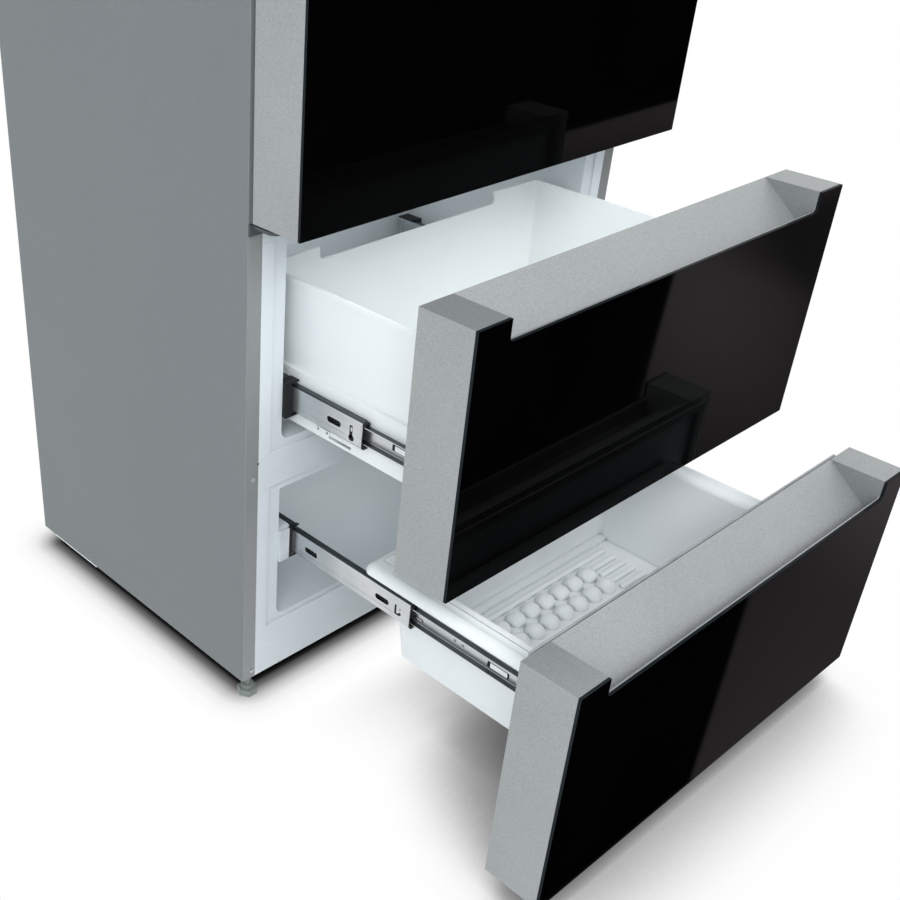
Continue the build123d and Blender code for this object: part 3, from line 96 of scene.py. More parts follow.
class Shading:
    """The nodes of one material or of the world."""

    def __init__(self, tree):
        self.tree = tree
        self.tree.nodes.clear()

    def plug(self, socket, value):
        """Feeds a socket with a link or a plain value."""
        if isinstance(value, Signal):
            self.tree.links.new(value.socket, socket)
        else:
            socket.default_value = value

    def node(self, kind, sockets=None, stops=None, **settings):
        """Any node: its settings and colour stops first, then the values or links of its sockets."""
        node = self.tree.nodes.new(kind)
        for name, value in settings.items():
            setattr(node, name, value)
        if stops:
            elements = node.color_ramp.elements
            while len(elements) < len(stops):
                elements.new(0.5)
            for element, (place, colour) in zip(elements, stops):
                element.position = place
                element.color = colour
        for name, value in (sockets or {}).items():
            self.plug(node.inputs[name], value)
        return node

    def add(self, kind, sockets=None, out=0, stops=None, **settings):
        """One output of a new node."""
        return Signal(self, self.node(kind, sockets, stops, **settings).outputs[out])

    def maths(self, operation, *values):
        """A Math node on numbers or signals."""
        return self.add("ShaderNodeMath", dict(enumerate(values)), operation=operation)

    def blend(self, share, first, second):
        """A colour between two colours."""
        return self.add("ShaderNodeMix", {0: share, 6: first, 7: second}, out=2, data_type="RGBA")

    def ramp(self, value, *stops):
        """A colour looked up along stops of place and colour."""
        return self.add("ShaderNodeValToRGB", {0: value}, stops=stops)

    def rise(self, value, low, high):
        """0 at one limit and 1 at the other, with a soft step between."""
        limits = {"Value": value, "From Min": low, "From Max": high}
        return self.add("ShaderNodeMapRange", limits, interpolation_type="SMOOTHSTEP")

    def place(self):
        """The point's place on the object, in metres."""
        return self.add("ShaderNodeTexCoord", out="Object")

    def place_along(self, axis):
        """The point's place along one axis of the object, in metres."""
        return self.add("ShaderNodeSeparateXYZ", {0: self.place()}, out=axis)

    def facing(self, axis):
        """How far the surface faces along one axis of the object, from -1 to 1."""
        normal = self.add("ShaderNodeTexCoord", out="Normal")
        return self.add("ShaderNodeSeparateXYZ", {0: normal}, out=axis)

    def stretched(self, x, y, z):
        """The place with each axis scaled."""
        return self.add("ShaderNodeMapping", {"Vector": self.place(), "Scale": (x, y, z)})

    def noise(self, scale, detail=2.0, where=None):
        """Cloudy noise from 0 to 1."""
        sockets = {"Vector": where or self.place(), "Scale": scale, "Detail": detail}
        return self.add("ShaderNodeTexNoise", sockets)

    def flakes(self, scale):
        """A random number for each small cell of the surface."""
        cells = self.add("ShaderNodeTexVoronoi", {"Vector": self.place(), "Scale": scale}, out="Color")
        return self.add("ShaderNodeSeparateColor", {0: cells})

    def mottled(self, first, second, share):
        """One pattern over another: the share of the first, and the rest of the second."""
        return first * share + second * (1 - share)

    def openness(self, reach, samples):
        """1 where nothing lies within reach of the surface, and less in a corner or under something."""
        return self.add("ShaderNodeAmbientOcclusion", {"Distance": reach}, out="AO", samples=samples)


class Finish(Shading):
    """One procedural material, built on a principled shader."""

    def __init__(self, name, **constants):
        self.material = bpy.data.materials.new(name)
        self.material.use_nodes = True
        super().__init__(self.material.node_tree)
        self.shader = self.node("ShaderNodeBsdfPrincipled")
        self.output = self.node("ShaderNodeOutputMaterial", {"Surface": self.shaded()})
        for key, value in constants.items():
            self.set(key.replace("_", " "), value)

    def shaded(self):
        """The principled shader's output."""
        return Signal(self, self.shader.outputs[0])

    def set(self, name, value):
        """Feeds a socket of the principled shader."""
        self.plug(self.shader.inputs[name], value)

    def colour(self, value):
        """Feeds the shader's base colour."""
        self.set("Base Color", value)

    def rough(self, pattern, base, spread):
        """Feeds the shader's roughness: a base, and a spread over a pattern."""
        self.set("Roughness", base + pattern * spread)

    def relief(self, height, strength, distance):
        """Feeds the shader's normal from a height."""
        sockets = {"Height": height, "Strength": strength, "Distance": distance}
        self.set("Normal", self.add("ShaderNodeBump", sockets))


# Finishes of the object


def silver_frame():
    """Blasted and anodised silver-grey of the edge frames: fine flakes in a satin ground."""
    f = Finish("silver_frame", Metallic=0.4, IOR=1.45)
    tone = f.mottled(f.flakes(scale=1700), f.noise(scale=6, detail=3), share=0.65)
    f.colour(f.ramp(tone, (0.12, paint(140, 144, 144)), (0.9, paint(175, 178, 178))))
    f.rough(f.noise(scale=900), base=0.34, spread=0.16)
    f.relief(f.noise(scale=1400), strength=0.12, distance=0.0004)
    return f.material


def grey_lacquer():
    """Silver-grey lacquered sheet of the sides, with a faint orange peel, and painted light: faces toward
    the front take a lighter copy of the lacquer.
    """
    f = Finish("grey_lacquer", Metallic=0.3, IOR=1.45, Coat_Weight=0.15, Coat_Roughness=0.25)
    cloud = f.noise(scale=3, detail=4)
    tone = f.mottled(f.flakes(scale=1300), cloud, share=0.45)
    side = f.ramp(tone, (0.2, paint(112, 118, 120)), (0.8, paint(126, 131, 132)))
    # painted light: the front folds take a lighter copy of the same lacquer, for how the light falls on
    # them
    fold_painted_lighter = f.ramp(tone, (0.2, paint(136, 139, 139)), (0.8, paint(150, 152, 151)))
    painted_light_mask = f.facing("Y") < -0.8
    f.colour(f.blend(painted_light_mask, side, fold_painted_lighter))
    f.rough(cloud, base=0.42, spread=0.12)
    f.relief(f.noise(scale=420, detail=1), strength=0.08, distance=0.0006)
    return f.material


def black_glass():
    """Black-backed toughened glass: a clear gloss over a deep black print, with greyer ground edges."""
    f = Finish("black_glass", IOR=1.5, Specular_IOR_Level=0.03)
    haze = f.noise(scale=4, detail=3)
    printed = f.ramp(haze, (0.3, paint(1, 1, 1)), (0.8, paint(3, 3, 3)))
    ground = f.ramp(haze, (0.3, paint(24, 29, 31)), (0.8, paint(36, 42, 44)))
    on_the_pane = abs(f.facing("Y")) > 0.85
    f.colour(f.blend(on_the_pane, ground, printed))
    f.rough(haze, base=0.02, spread=0.03)
    return f.material


def moulded_white(name, dark, light, base, strength, painted_shade_reach=0.0):
    """White moulded plastic with a slight haze and a fine grain, with painted shade that greys it in its
    creases.
    """
    f = Finish(name, IOR=1.46)
    shell = f.ramp(f.noise(scale=5, detail=4), (0.25, dark), (0.75, light))
    if painted_shade_reach:
        # painted shade: where the surface is hemmed in within the reach, its colour turns grey
        crease_shade = f.rise(1 - f.openness(painted_shade_reach, samples=6), 0.25, 0.9)
        shell = f.blend(crease_shade, shell, paint(150, 160, 165))
    f.colour(shell)
    f.rough(f.noise(scale=60, detail=3), base=base, spread=0.08)
    f.relief(f.noise(scale=700), strength=strength, distance=0.0003)
    return f.material


def white_bin():
    """White plastic of the bins and the upper carrier."""
    dark, light = paint(226, 231, 232), paint(234, 238, 238)
    return moulded_white("white_bin", dark, light, base=0.3, strength=0.05)


def white_insert():
    """Glossier white plastic of the tray in the lower bin, with painted shade in its creases."""
    dark, light = paint(230, 234, 236), paint(238, 241, 242)
    return moulded_white("white_insert", dark, light, base=0.26, strength=0.03, painted_shade_reach=0.011)


def white_liner():
    """Vacuum-formed liner: bluish white with the soft waviness of stretched sheet."""
    f = Finish("white_liner", IOR=1.46)
    cloud = f.noise(scale=4, detail=4)
    f.colour(f.ramp(cloud, (0.25, paint(205, 212, 216)), (0.75, paint(216, 222, 225))))
    f.rough(f.noise(scale=40, detail=3), base=0.32, spread=0.1)
    f.relief(f.noise(scale=18), strength=0.12, distance=0.0015)
    return f.material


def white_paint():
    """White painted steel of the cross rails and base panel."""
    f = Finish("white_paint", IOR=1.46)
    cloud = f.noise(scale=7, detail=4)
    f.colour(f.ramp(cloud, (0.25, paint(204, 211, 214)), (0.75, paint(214, 220, 223))))
    f.rough(cloud, base=0.35, spread=0.1)
    f.relief(f.noise(scale=380, detail=1), strength=0.07, distance=0.0005)
    return f.material


def slide_steel():
    """Bright zinc of the slides, drawn along their length, with painted shade: faces up and down take a
    darker copy of the zinc.
    """
    f = Finish("slide_steel", Metallic=0.95)
    streak = f.noise(scale=1.0, detail=3, where=f.stretched(900, 14, 900))
    tone = f.mottled(streak, f.noise(scale=30, detail=3), share=0.6)
    web = f.ramp(tone, (0.25, paint(192, 197, 200)), (0.75, paint(228, 231, 233)))
    # painted shade: the top and bottom flanges take a darker copy of the zinc, for the shade they lie in
    shaded_flange = f.ramp(tone, (0.25, paint(70, 76, 80)), (0.75, paint(104, 110, 114)))
    painted_shade_mask = abs(f.facing("Z")) > 0.6
    f.colour(f.blend(painted_shade_mask, web, shaded_flange))
    f.rough(streak, base=0.24, spread=0.18)
    f.relief(streak, strength=0.1, distance=0.0003)
    return f.material


def zinc_sheet():
    """Galvanised sheet with its spangle."""
    f = Finish("zinc_sheet", Metallic=0.85)
    spangle = f.flakes(scale=160)
    tone = f.mottled(spangle, f.noise(scale=500), share=0.55)
    f.colour(f.ramp(tone, (0.15, paint(160, 165, 168)), (0.85, paint(178, 182, 185))))
    f.rough(spangle, base=0.36, spread=0.14)
    f.relief(spangle, strength=0.05, distance=0.0003)
    return f.material


def moulded_plastic(name, dark, light, base):
    """Coloured moulded plastic with a fine spark-eroded grain."""
    f = Finish(name, IOR=1.46)
    cloud = f.noise(scale=40, detail=3)
    f.colour(f.ramp(cloud, (0.3, dark), (0.7, light)))
    f.rough(cloud, base=base, spread=0.12)
    f.relief(f.noise(scale=1600, detail=1), strength=0.18, distance=0.0004)
    return f.material


def black_plastic():
    """Black moulded plastic, except that the outer halves of the lower slide brackets are white."""
    f = Finish("black_plastic", IOR=1.46, Specular_IOR_Level=0.3)
    cloud = f.noise(scale=40, detail=3)
    black = f.ramp(cloud, (0.3, paint(12, 14, 15)), (0.7, paint(22, 24, 25)))
    white = f.ramp(cloud, (0.3, paint(196, 203, 207)), (0.7, paint(206, 212, 216)))
    split, rear, bottom, top = 0.2705, 0.46, 0.2, 0.3
    across = f.place_along("X")
    height = across.part("Z")
    outer_half = (abs(across) > split) * (across.part("Y") < rear)
    f.colour(f.blend(outer_half * (height > bottom) * (height < top), black, white))
    f.rough(cloud, base=0.35, spread=0.12)
    f.relief(f.noise(scale=1600, detail=1), strength=0.18, distance=0.0004)
    return f.material


def dark_hinge():
    """Dark grey powder coat of the hinges."""
    f = Finish("dark_hinge", Metallic=0.35)
    pebble = f.noise(scale=1100)
    f.colour(f.ramp(pebble, (0.3, paint(66, 70, 74)), (0.7, paint(86, 90, 94))))
    f.rough(pebble, base=0.42, spread=0.14)
    f.relief(pebble, strength=0.2, distance=0.0003)
    return f.material


def insulation_foam():
    """Yellowish rigid foam."""
    f = Finish("insulation_foam", Roughness=0.9)
    cells = f.noise(scale=260, detail=4)
    f.colour(f.ramp(cells, (0.3, paint(206, 190, 132)), (0.7, paint(232, 220, 170))))
    f.relief(cells, strength=0.5, distance=0.001)
    return f.material


def fin_aluminium():
    """Thin bright aluminium of the fins."""
    f = Finish("fin_aluminium", Metallic=0.95)
    cloud = f.noise(scale=120, detail=3)
    f.colour(f.ramp(cloud, (0.3, paint(172, 176, 180)), (0.7, paint(212, 215, 218))))
    f.rough(cloud, base=0.3, spread=0.15)
    return f.material


def clear(name, tint, base, ior, scale):
    """Clear pane or moulding, slightly tinted, with a haze that scatters a little light."""
    f = Finish(name, Transmission_Weight=0.92, IOR=ior)
    haze = f.noise(scale=scale, detail=3)
    f.colour(f.ramp(haze, (0.3, tint), (0.7, paint(246, 249, 250))))
    f.rough(haze, base=base, spread=0.04)
    return f.material


def light_cover():
    """Milky cover of the ceiling light."""
    f = Finish("light_cover", Transmission_Weight=0.25, Subsurface_Weight=0.2, Emission_Strength=0.35)
    cloud = f.noise(scale=30, detail=3)
    f.colour(f.ramp(cloud, (0.3, paint(240, 242, 240)), (0.7, paint(250, 250, 247))))
    f.set("Emission Color", f.ramp(cloud, (0.3, paint(246, 248, 250)), (0.7, paint(252, 252, 252))))
    f.rough(cloud, base=0.4, spread=0.1)
    return f.material


def finishes():
    """One material for each of the record's material slots."""
    made = {
        "silver_frame": silver_frame(),
        "grey_lacquer": grey_lacquer(),
        "black_glass": black_glass(),
        "white_bin": white_bin(),
        "white_insert": white_insert(),
        "white_liner": white_liner(),
        "white_paint": white_paint(),
        "slide_steel": slide_steel(),
        "zinc_sheet": zinc_sheet(),
        "dark_hinge": dark_hinge(),
        "black_plastic": black_plastic(),
        "insulation_foam": insulation_foam(),
        "fin_aluminium": fin_aluminium(),
        "light_cover": light_cover(),
        "clear_glass": clear("clear_glass", paint(226, 240, 236), base=0.01, ior=1.5, scale=3),
        "clear_plastic": clear("clear_plastic", paint(232, 240, 244), base=0.05, ior=1.47, scale=8),
    }
    for name, dark, light, base in (
        ("grey_plastic", paint(120, 124, 127), paint(136, 140, 143), 0.4),
        ("foot_plastic", paint(104, 112, 108), paint(126, 133, 128), 0.4),
        ("black_paint", paint(16, 16, 17), paint(27, 27, 28), 0.25),
        ("black_rubber", paint(22, 22, 22), paint(34, 33, 32), 0.65),
        ("grey_gasket", paint(150, 154, 156), paint(170, 173, 175), 0.55),
    ):
        made[name] = moulded_plastic(name, dark, light, base)
    return made


def dress_nodes():
    """Gives every CAD node the finish of its material slot."""
    for node in nodes.values():
        for place in node.material_slots:
            name = place.material.name.split(".")[0] if place.material else ""
            if name in made:
                place.material = made[name]


bevel_angle = 40
flat_angle = 0.5
weld_distance = 0.00002


def round_edges(thing, width):
    """Rounds the edges of an object that turn by more than the bevel angle."""
    bevel = thing.modifiers.new("edges", "BEVEL")
    bevel.width = width
    bevel.segments = 2
    bevel.limit_method = "ANGLE"
    bevel.angle_limit = math.radians(bevel_angle)


def break_edges(names, width):
    """Rounds the sharp edges of CAD nodes with modifiers, in metres."""
    for name in names:
        node = nodes[name]
        weld = node.modifiers.new("weld", "WELD")
        weld.merge_threshold = weld_distance
        flat = node.modifiers.new("flat", "DECIMATE")
        flat.decimate_type = "DISSOLVE"
        flat.angle_limit = math.radians(flat_angle)
        round_edges(node, width)
        even = node.modifiers.new("even", "WEIGHTED_NORMAL")
        even.weight = 100
        even.keep_sharp = True


# Small pieces, in millimetres: x to the right, y to the rear from the cabinet's front, z up

row_shift = 0.00435


def spot(x, y, z):
    """A place in the shared frame, in metres."""
    return Vector((x / 1000, y / 1000 + row_shift, z / 1000))


def add_piece(name, shape, body, finish, rounding=0.0):
    """Makes an object of a mesh under work, rounds its edges and rides it on a body."""
    mesh = bpy.data.meshes.new(name)
    bmesh.ops.recalc_face_normals(shape, faces=shape.faces)
    shape.to_mesh(mesh)
    shape.free()
    mesh.materials.append(made[finish])
    piece = bpy.data.objects.new(name, mesh)
    bpy.context.scene.collection.objects.link(piece)
    if rounding:
        round_edges(piece, rounding / 1000)
    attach(piece, body)


def stamped(shape, outline, depth):
    """Adds a plate to a mesh under work: its outline as places, pushed out by a vector."""
    near = [shape.verts.new(place) for place in outline]
    far = [shape.verts.new(place + depth) for place in outline]
    shape.faces.new(near)
    shape.faces.new(list(reversed(far)))
    for i in range(len(outline)):
        j = (i + 1) % len(outline)
        shape.faces.new((near[i], near[j], far[j], far[i]))


def turned(shape, profile, centre, axis, steps=20):
    """Adds a lathe-turned form to a mesh under work: pairs of radius and height along an axis."""
    axis = axis.normalized()
    side = axis.orthogonal().normalized()
    other = axis.cross(side)
    rings = []
    for radius, height in profile:
        ring = []
        for step in range(steps):
            angle = 2 * math.pi * step / steps
            out = side * math.cos(angle) + other * math.sin(angle)
            ring.append(shape.verts.new(centre + out * radius / 1000 + axis * height / 1000))
        rings.append(ring)
    for low, high in zip(rings, rings[1:]):
        for i in range(steps):
            j = (i + 1) % steps
            shape.faces.new((low[i], low[j], high[j], high[i]))
    shape.faces.new(list(reversed(rings[0])))
    shape.faces.new(rings[-1])


def rounded(y, z, length, height, corner, steps=4):
    """A rounded rectangle in the side view, as pairs of y and z."""
    outline = []
    half_y = length / 2 - corner
    half_z = height / 2 - corner
    for quarter, (sign_y, sign_z) in enumerate(((1, 1), (-1, 1), (-1, -1), (1, -1))):
        for step in range(steps + 1):
            angle = math.pi / 2 * (quarter + step / steps)
            corner_y = y + sign_y * half_y + corner * math.cos(angle)
            outline.append((corner_y, z + sign_z * half_z + corner * math.sin(angle)))
    return outline


def side_plates(name, body, finish, outlines, x, thickness, rounding=0.0):
    """Plates on the outer face of the slides or carriers, at both sides of the fridge."""
    shape = bmesh.new()
    for side in (-1, 1):
        for outline in outlines:
            places = [spot(side * x, y, z) for y, z in outline]
            stamped(shape, places, Vector((side * thickness / 1000, 0, 0)))
    add_piece(name, shape, body, finish, rounding)


upper_middle, upper_inner = "upper_middle_slides", "upper_drawer"
lower_middle, lower_inner = "lower_middle_slides", "lower_drawer"
upper_middle_face = 275.0
lower_middle_face = 263.0
upper_inner_face = 265.0
lower_inner_face = 253.0
upper_slide_z = 459.0
lower_slide_z = 235.5
upper_middle_end = -126.15
lower_middle_end = -218.15
inlay_depth = 0.1


def catch_plates(name, body, face, end, z):
    """A steel plate round the catch, at the front ends of a pair of middle members."""
    plate = rounded(end + 15, z, length=26, height=29, corner=2)
    side_plates(name, body, "slide_steel", [plate], face, thickness=0.14, rounding=0.05)


def upper_catches():
    """Catches of the upper slides, each with a keyhole opening and a steel tongue; the opening is a black
    plate of painted shade.
    """
    body, face, end, z = upper_middle, upper_middle_face, upper_middle_end, upper_slide_z
    catch_plates("upper_catch_plates", body, face, end, z)
    throat_shade = rounded(end + 18, z - 1, length=5, height=17, corner=1)
    bulb_shade = rounded(end + 17.2, z - 9.4, length=9, height=8, corner=3.6)
    face = face + inlay_depth
    # painted shade: the keyhole opening is a black plate on the catch plate
    side_plates("upper_catch_throat_shades", body, "black_plastic", [throat_shade, bulb_shade], face, thickness=0.1)
    tongue = rounded(end + 17.4, z + 2.5, length=2.6, height=6, corner=1)
    side_plates("upper_catch_tongues", body, "slide_steel", [tongue], face, thickness=0.16)


def lower_catches():
    """Catches of the lower slides, each with a hooked opening and a round one, both black plates of painted
    shade.
    """
    body, face, end, z = lower_middle, lower_middle_face, lower_middle_end, lower_slide_z
    catch_plates("lower_catch_plates", body, face, end, z)
    stem = rounded(end + 23.8, z - 0.9, length=3.2, height=14, corner=1.5)
    hook = rounded(end + 20.8, z - 7.5, length=9, height=2.6, corner=1.2)
    ball_end = rounded(end + 16.4, z - 5.5, length=4.4, height=4.4, corner=2.1)
    pin = rounded(end + 16.4, z + 1.7, length=2.2, height=2.2, corner=1)
    # painted shade: the openings are black plates on the catch plate
    opening_shades = [stem, hook, ball_end, pin]
    side_plates("lower_catch_opening_shades", body, "black_plastic", opening_shades, face + inlay_depth, thickness=0.1)


def slide_ribs():
    """Long pressed ribs along the webs of the middle members."""
    rib_length, rib_setback, rib_drop = 280, 30, 11
    for name, body, face, z, end in (
        ("upper_ribs", upper_middle, upper_middle_face, upper_slide_z, upper_middle_end),
        ("lower_ribs", lower_middle, lower_middle_face, lower_slide_z, lower_middle_end),
    ):
        middle = end + rib_setback + rib_length / 2
        rib = rounded(middle, z - rib_drop, length=rib_length, height=4.4, corner=2)
        side_plates(name, body, "slide_steel", [rib], face, thickness=0.26, rounding=0.24)


def slide_end_stops():
    """Black stops of the ball cages, which fill the front ends of the middle members."""
    stop_offset, stop_inset = 15.2, 9
    for name, body, face, z, end in (
        ("upper_cage_stops", upper_middle, upper_middle_face, upper_slide_z, upper_middle_end),
        ("lower_cage_stops", lower_middle, lower_middle_face, lower_slide_z, lower_middle_end),
    ):
        heights = (z - stop_offset, z + stop_offset)
        stops = [rounded(end - 2.2, height, length=4.4, height=5, corner=1.2) for height in heights]
        side_plates(name, body, "black_plastic", stops, face - stop_inset, thickness=8.6, rounding=0.3)


def slide_balls():
    """Steel balls of the cage, seen through the long slots of the middle members."""
    radius, pitch, below_face = 1.7, 6.2, 2.2
    arc = [math.pi * (i / 8 - 0.5) for i in range(1, 8)]
    profile = [(radius * math.cos(a), radius * math.sin(a)) for a in arc]
    for name, body, face, z, slots in (
        ("upper_cage_balls", upper_middle, upper_middle_face, upper_slide_z, (-78.15,)),
        ("lower_cage_balls", lower_middle, lower_middle_face, lower_slide_z, (-170.15, -37.15)),
    ):
        shape = bmesh.new()
        for side in (-1, 1):
            for slot in slots:
                for step in (-1, 0, 1):
                    centre = spot(side * (face - below_face), slot + step * pitch, z)
                    turned(shape, profile, centre, Vector((side, 0, 0)), steps=12)
        add_piece(name, shape, body, "black_plastic")


def slide_levers():
    """Release levers on the inner members of the lower slides, with painted shade in the gap round them, a
    black plate.
    """
    face = lower_inner_face
    # painted shade: the gap round each lever is a black plate
    gap_shade = rounded(-225.5, 231.6, length=15, height=5, corner=2)
    side_plates("lower_lever_gap_shades", lower_inner, "black_plastic", [gap_shade], face, thickness=0.15)
    lever = rounded(-226.2, 231.8, length=11.5, height=3, corner=1.3)
    side_plates("lower_levers", lower_inner, "slide_steel", [lever], face, thickness=0.7, rounding=0.2)


def slide_windows():
    """Light plastic keepers in the inner members, each in a window of painted shade, a black plate."""
    for name, body, face, y, z in (
        ("upper_keeper", upper_inner, upper_inner_face, -184.0, 459.6),
        ("lower_keeper", lower_inner, lower_inner_face, -353.5, 232.6),
    ):
        # painted shade: the window round each keeper is a black plate
        window_shade = rounded(y, z, length=33, height=8.6, corner=1)
        side_plates(name + "_windows", body, "black_plastic", [window_shade], face, thickness=0.15)
        keeper = rounded(y - 1, z, length=26, height=7, corner=0.8)
        side_plates(name + "s", body, "white_insert", [keeper], face, thickness=0.5, rounding=0.15)


def carrier_clips():
    """White clips that lock the upper carrier to the inner members, each with two eyes."""
    y, z, face, eye_offset, eye_sunk = -50.0, 430.2, 263.8, 8, 0.05
    thickness = 1.8
    clip = rounded(y, z, length=25, height=6.6, corner=3)
    side_plates("upper_carrier_clips", upper_inner, "white_bin", [clip], face, thickness, rounding=0.4)
    eyes = [rounded(y + side * eye_offset, z, length=3.4, height=3.8, corner=1.6) for side in (-1, 1)]
    face = face + thickness - eye_sunk
    side_plates("upper_carrier_clip_eyes", upper_inner, "grey_plastic", eyes, face, thickness=0.3)


def front_screws():
    """Pale plugs, screws and small holes in the folded fronts of the cabinet sides; the holes are black
    discs of painted shade.
    """
    forward = Vector((0, -1, 0))
    plug = [(3.5, 0), (3.5, 0.5), (2.9, 0.9), (1.2, 1.05), (0.4, 1.05)]
    screw = [(3.0, 0), (3.0, 0.5), (2.4, 1.1), (1.2, 1.2), (1.1, 0.6), (0.3, 0.6)]
    hole_shade = [(1.5, 0), (1.5, 0.08), (0.3, 0.08)]
    for name, finish, profile, x, z in (
        ("fold_plugs", "grey_gasket", plug, 336, 361),
        ("fold_screws", "slide_steel", screw, 333, 41.6),
        # painted shade: the holes are thin black discs
        ("fold_hole_shades", "black_plastic", hole_shade, 327.9, 382),
    ):
        shape = bmesh.new()
        for side in (-1, 1):
            turned(shape, profile, spot(side * x, 0, z), forward)
        add_piece(name, shape, "cabinet", finish)


def hinge_rests():
    """Dark rests beside the middle hinge, under the door's bottom edge."""
    low, high, forward = 691, 697, Vector((0, -0.0055, 0))
    shape = bmesh.new()
    for left, right in ((-329.5, -323.0), (-319.5, -315.5)):
        outline = [spot(left, 0, low), spot(right, 0, low), spot(right, 0, high), spot(left, 0, high)]
        stamped(shape, outline, forward)
    add_piece("hinge_rests", shape, "cabinet", "dark_hinge", rounding=0.4)


def bottom_guards():
    """Pale plastic guards along the bottom edges of the side panels."""
    guard = [(364, 27.4), (484, 27.4), (484, 30), (364, 30)]
    side_plates("bottom_guards", "cabinet", "white_bin", [guard], x=348.3, thickness=1.5, rounding=0.3)


# Camera, light and floor, in metres

camera_place = Vector((-1.2070, -1.0008 + row_shift, 1.1835))
camera_right = Vector((0.757730, -0.652391, 0.015235))
camera_down = Vector((-0.344766, -0.420037, -0.839467))
camera_forward = Vector((0.554060, 0.630837, -0.543197))
focal_pixels = 1223.10
frame_pixels = 900
sensor = 36.0
shift_across = 0.214
shift_up = 0.06

# Each lamp: name, place, target, width, height and watts
lamps = (
    ("key", (-0.4, -2.9, 4.0), (0, -0.2, 0.5), 3.0, 2.4, 95),
    ("left", (-2.6, -1.9, 2.6), (0, -0.2, 0.5), 1.8, 1.8, 52),
    ("upper_inside", (0, 0.2, 0.655), (0, 0.2, 0.0), 0.4, 0.2, 0.36),
    ("lower_inside", (0, 0.2, 0.3), (0, 0.2, 0.0), 0.4, 0.2, 0.2),
    ("upper_bin_light", (0, -0.13, 0.69), (0, -0.13, 0.0), 0.46, 0.14, 0.24),
)
room_colour = (0.92, 0.96, 1.0, 1)
room_strength = 0.8

# The floor's shadow: close round the cabinet's foot, and soft under the drawers. Stops are pairs of
# distance and grey
shadow_half_width = 0.324
shadow_middle = 0.262
shadow_half_depth = 0.232
shadow_reach = 0.1
shadow_stops = ((0.0, 0.0), (0.08, 0.01), (0.2, 0.16), (0.36, 0.56), (0.52, 0.85), (0.7, 0.96), (0.95, 1.0))
shade_reach = 0.23
shade_stops = ((0.05, 0.04), (0.34, 0.13), (0.52, 0.34), (0.66, 0.72), (0.76, 0.94), (0.85, 1.0))
shade_starts, shade_full = -0.06, -0.14

# The dark card that the black fronts mirror: where it starts, and the edge past which it is lit
floor_card_front = -0.3
floor_card_left = -0.34
card_span = 2.4
card_fade = 0.5
card_edge = (
    (0.0, 0.54),
    (0.269, 0.644),
    (0.456, 0.717),
    (0.7, 0.76),
    (1.62, 1.245),
    (1.835, 1.482),
    (2.061, 1.647),
)
card_edge_width = 0.01
card_dark = 0.14
card_bright = 0.72
card_side_dark = 0.2
card_side_bright = 0.8
card_side_starts, card_side_full = 0.5, 1.5
card_lit = (1.3, 1.15, 1.21, 1)
mirrored_floor = 0.95
floor_size = 30


def set_camera():
    """The photograph's own viewpoint, worked out from edges of the cabinet and the fronts."""
    data = bpy.data.cameras.new("camera")
    data.sensor_width = sensor
    data.lens = focal_pixels / frame_pixels * sensor
    data.shift_x = shift_across
    data.shift_y = shift_up
    data.clip_start = 0.01
    data.clip_end = 100
    camera = bpy.data.objects.new("camera", data)
    turn = Matrix((camera_right, -camera_down, -camera_forward)).transposed()
    camera.matrix_world = Matrix.Translation(camera_place) @ turn.to_4x4()
    bpy.context.scene.collection.objects.link(camera)
    bpy.context.scene.camera = camera


def softbox(name, place, target, width, height, watts):
    """A soft area light that lights the part but isn't seen or mirrored itself."""
    data = bpy.data.lights.new(name, "AREA")
    data.shape = "RECTANGLE"
    data.size = width
    data.size_y = height
    data.energy = watts
    lamp = bpy.data.objects.new(name, data)
    lamp.location = place
    lamp.rotation_euler = (Vector(target) - Vector(place)).to_track_quat("-Z", "Y").to_euler()
    lamp.visible_glossy = False
    lamp.visible_camera = False
    bpy.context.scene.collection.objects.link(lamp)


def set_world():
    """Even studio light, with a white background for the camera and for gloss and glass."""
    world = bpy.data.worlds.new("studio")
    bpy.context.scene.world = world
    world.use_nodes = True
    sky = Shading(world.node_tree)
    rays = sky.add("ShaderNodeLightPath", out="Is Camera Ray")
    mirrored = sky.maths("MAXIMUM", rays, rays.part("Is Glossy Ray"))
    seen = sky.maths("MAXIMUM", mirrored, rays.part("Is Transmission Ray"))
    room = sky.add("ShaderNodeBackground", {"Color": room_colour, "Strength": room_strength})
    white = sky.add("ShaderNodeBackground", {"Color": grey(1), "Strength": 1.0})
    both = sky.add("ShaderNodeMixShader", {0: seen, 1: room, 2: white})
    sky.node("ShaderNodeOutputWorld", {"Surface": both})


def floor_shadow(f, across, along):
    """What the camera sees of the floor: white with a contact shadow, and shade under the drawers."""
    beside = f.maths("MAXIMUM", abs(across) - shadow_half_width, 0.0)
    before = f.maths("MAXIMUM", abs(along - shadow_middle) - shadow_half_depth, 0.0)
    away = (beside * beside + before * before) ** 0.5
    contact = f.ramp(away / shadow_reach, *[(place, grey(value)) for place, value in shadow_stops])
    openness = f.openness(shade_reach, samples=32)
    shade = f.ramp(openness, *[(place, grey(value)) for place, value in shade_stops])
    drawer_shade = f.blend(f.rise(along, shade_starts, shade_full), grey(1), shade)
    sockets = {0: 1.0, 6: contact, 7: drawer_shade}
    return f.add("ShaderNodeMix", sockets, out=2, data_type="RGBA", blend_type="MULTIPLY")


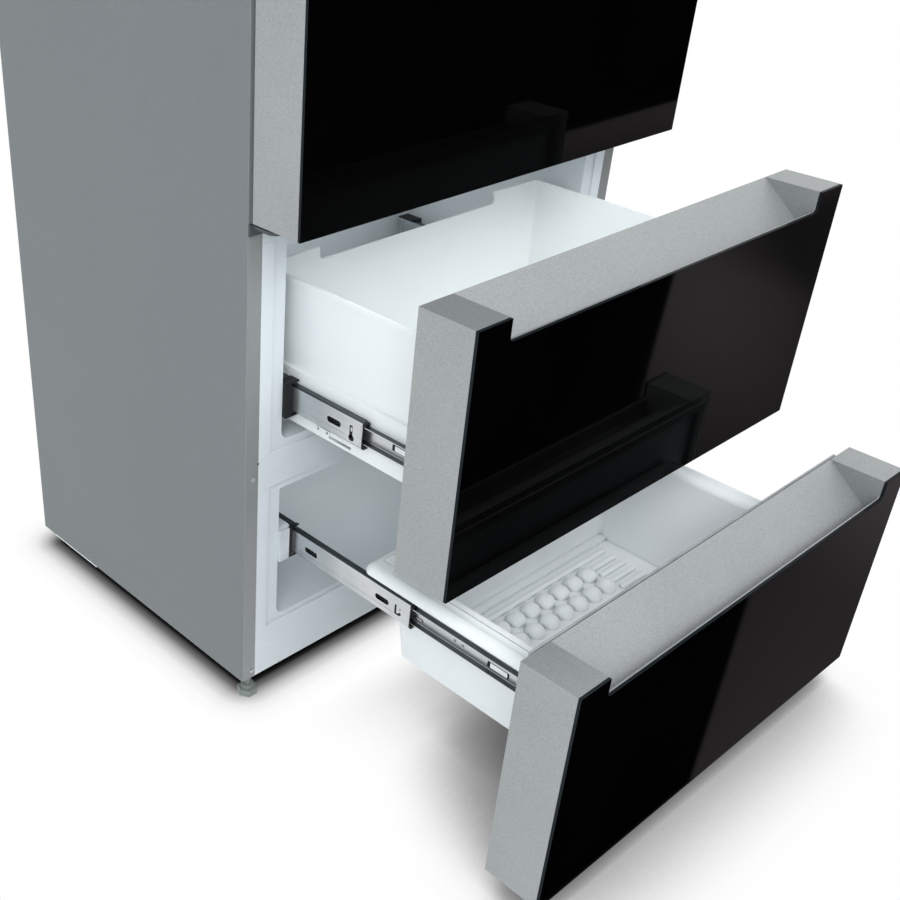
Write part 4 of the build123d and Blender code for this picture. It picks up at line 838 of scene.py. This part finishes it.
def floor_card(f, across, along):
    """What the black fronts mirror: a dark card in front of the fridge, lit past a slanting edge."""
    edge = f.ramp(across / card_span, *[(x / card_span, grey(y / card_span)) for x, y in card_edge])
    past_edge = along + edge * card_span
    near_edge = card_dark + f.rise(past_edge, card_fade, 0.0) * card_bright
    to_the_side = card_side_dark + f.rise(across, card_side_starts, card_side_full) * card_side_bright
    lit = f.rise(past_edge, 0.0, card_edge_width) * near_edge * to_the_side
    card = f.blend(lit, grey(0.0), card_lit)
    ahead = (along < floor_card_front) * (across > floor_card_left)
    return f.blend(ahead, grey(mirrored_floor), card)


def floor_finish():
    """Pale floor that lights the object from below, and shows as a white backdrop."""
    f = Finish("floor", Roughness=0.9, Specular_IOR_Level=0.0)
    f.colour(f.ramp(f.noise(scale=0.8), (0.3, (0.84, 0.85, 0.86, 1)), (0.7, (0.87, 0.88, 0.89, 1))))
    across = f.place_along("X")
    along = across.part("Y")
    rays = f.add("ShaderNodeLightPath", out="Is Camera Ray")
    glossy = rays.part("Is Glossy Ray")
    shown = f.blend(glossy, floor_shadow(f, across, along), floor_card(f, across, along))
    glow = f.add("ShaderNodeEmission", {"Color": shown})
    seen = f.maths("MAXIMUM", rays, glossy)
    both = f.add("ShaderNodeMixShader", {0: seen, 1: f.shaded(), 2: glow})
    f.plug(f.output.inputs["Surface"], both)
    return f.material


def make_floor():
    """A wide plain floor."""
    mesh = bpy.data.meshes.new("floor")
    shape = bmesh.new()
    bmesh.ops.create_grid(shape, x_segments=1, y_segments=1, size=floor_size)
    shape.to_mesh(mesh)
    shape.free()
    mesh.materials.append(floor_finish())
    floor = bpy.data.objects.new("floor", mesh)
    bpy.context.scene.collection.objects.link(floor)


bpy.context.scene.view_settings.view_transform = "Standard"
set_camera()
set_world()
for lamp in lamps:
    softbox(*lamp)
make_floor()

made = finishes()
dress_nodes()
break_edges(("upper_front_frame", "lower_front_frame", "door_frame"), width=0.0008)
break_edges(("upper_front_glass", "lower_front_glass", "door_glass"), width=0.0005)
break_edges(("upper_mullion", "lower_mullion", "base_front_panel"), width=0.0006)
break_edges(("top_hinge_cover", "middle_hinge"), width=0.0006)
break_edges(("slide_end_brackets", "upper_bin"), width=0.0004)

upper_catches()
lower_catches()
slide_ribs()
slide_end_stops()
slide_balls()
slide_levers()
slide_windows()
carrier_clips()
front_screws()
hinge_rests()
bottom_guards()
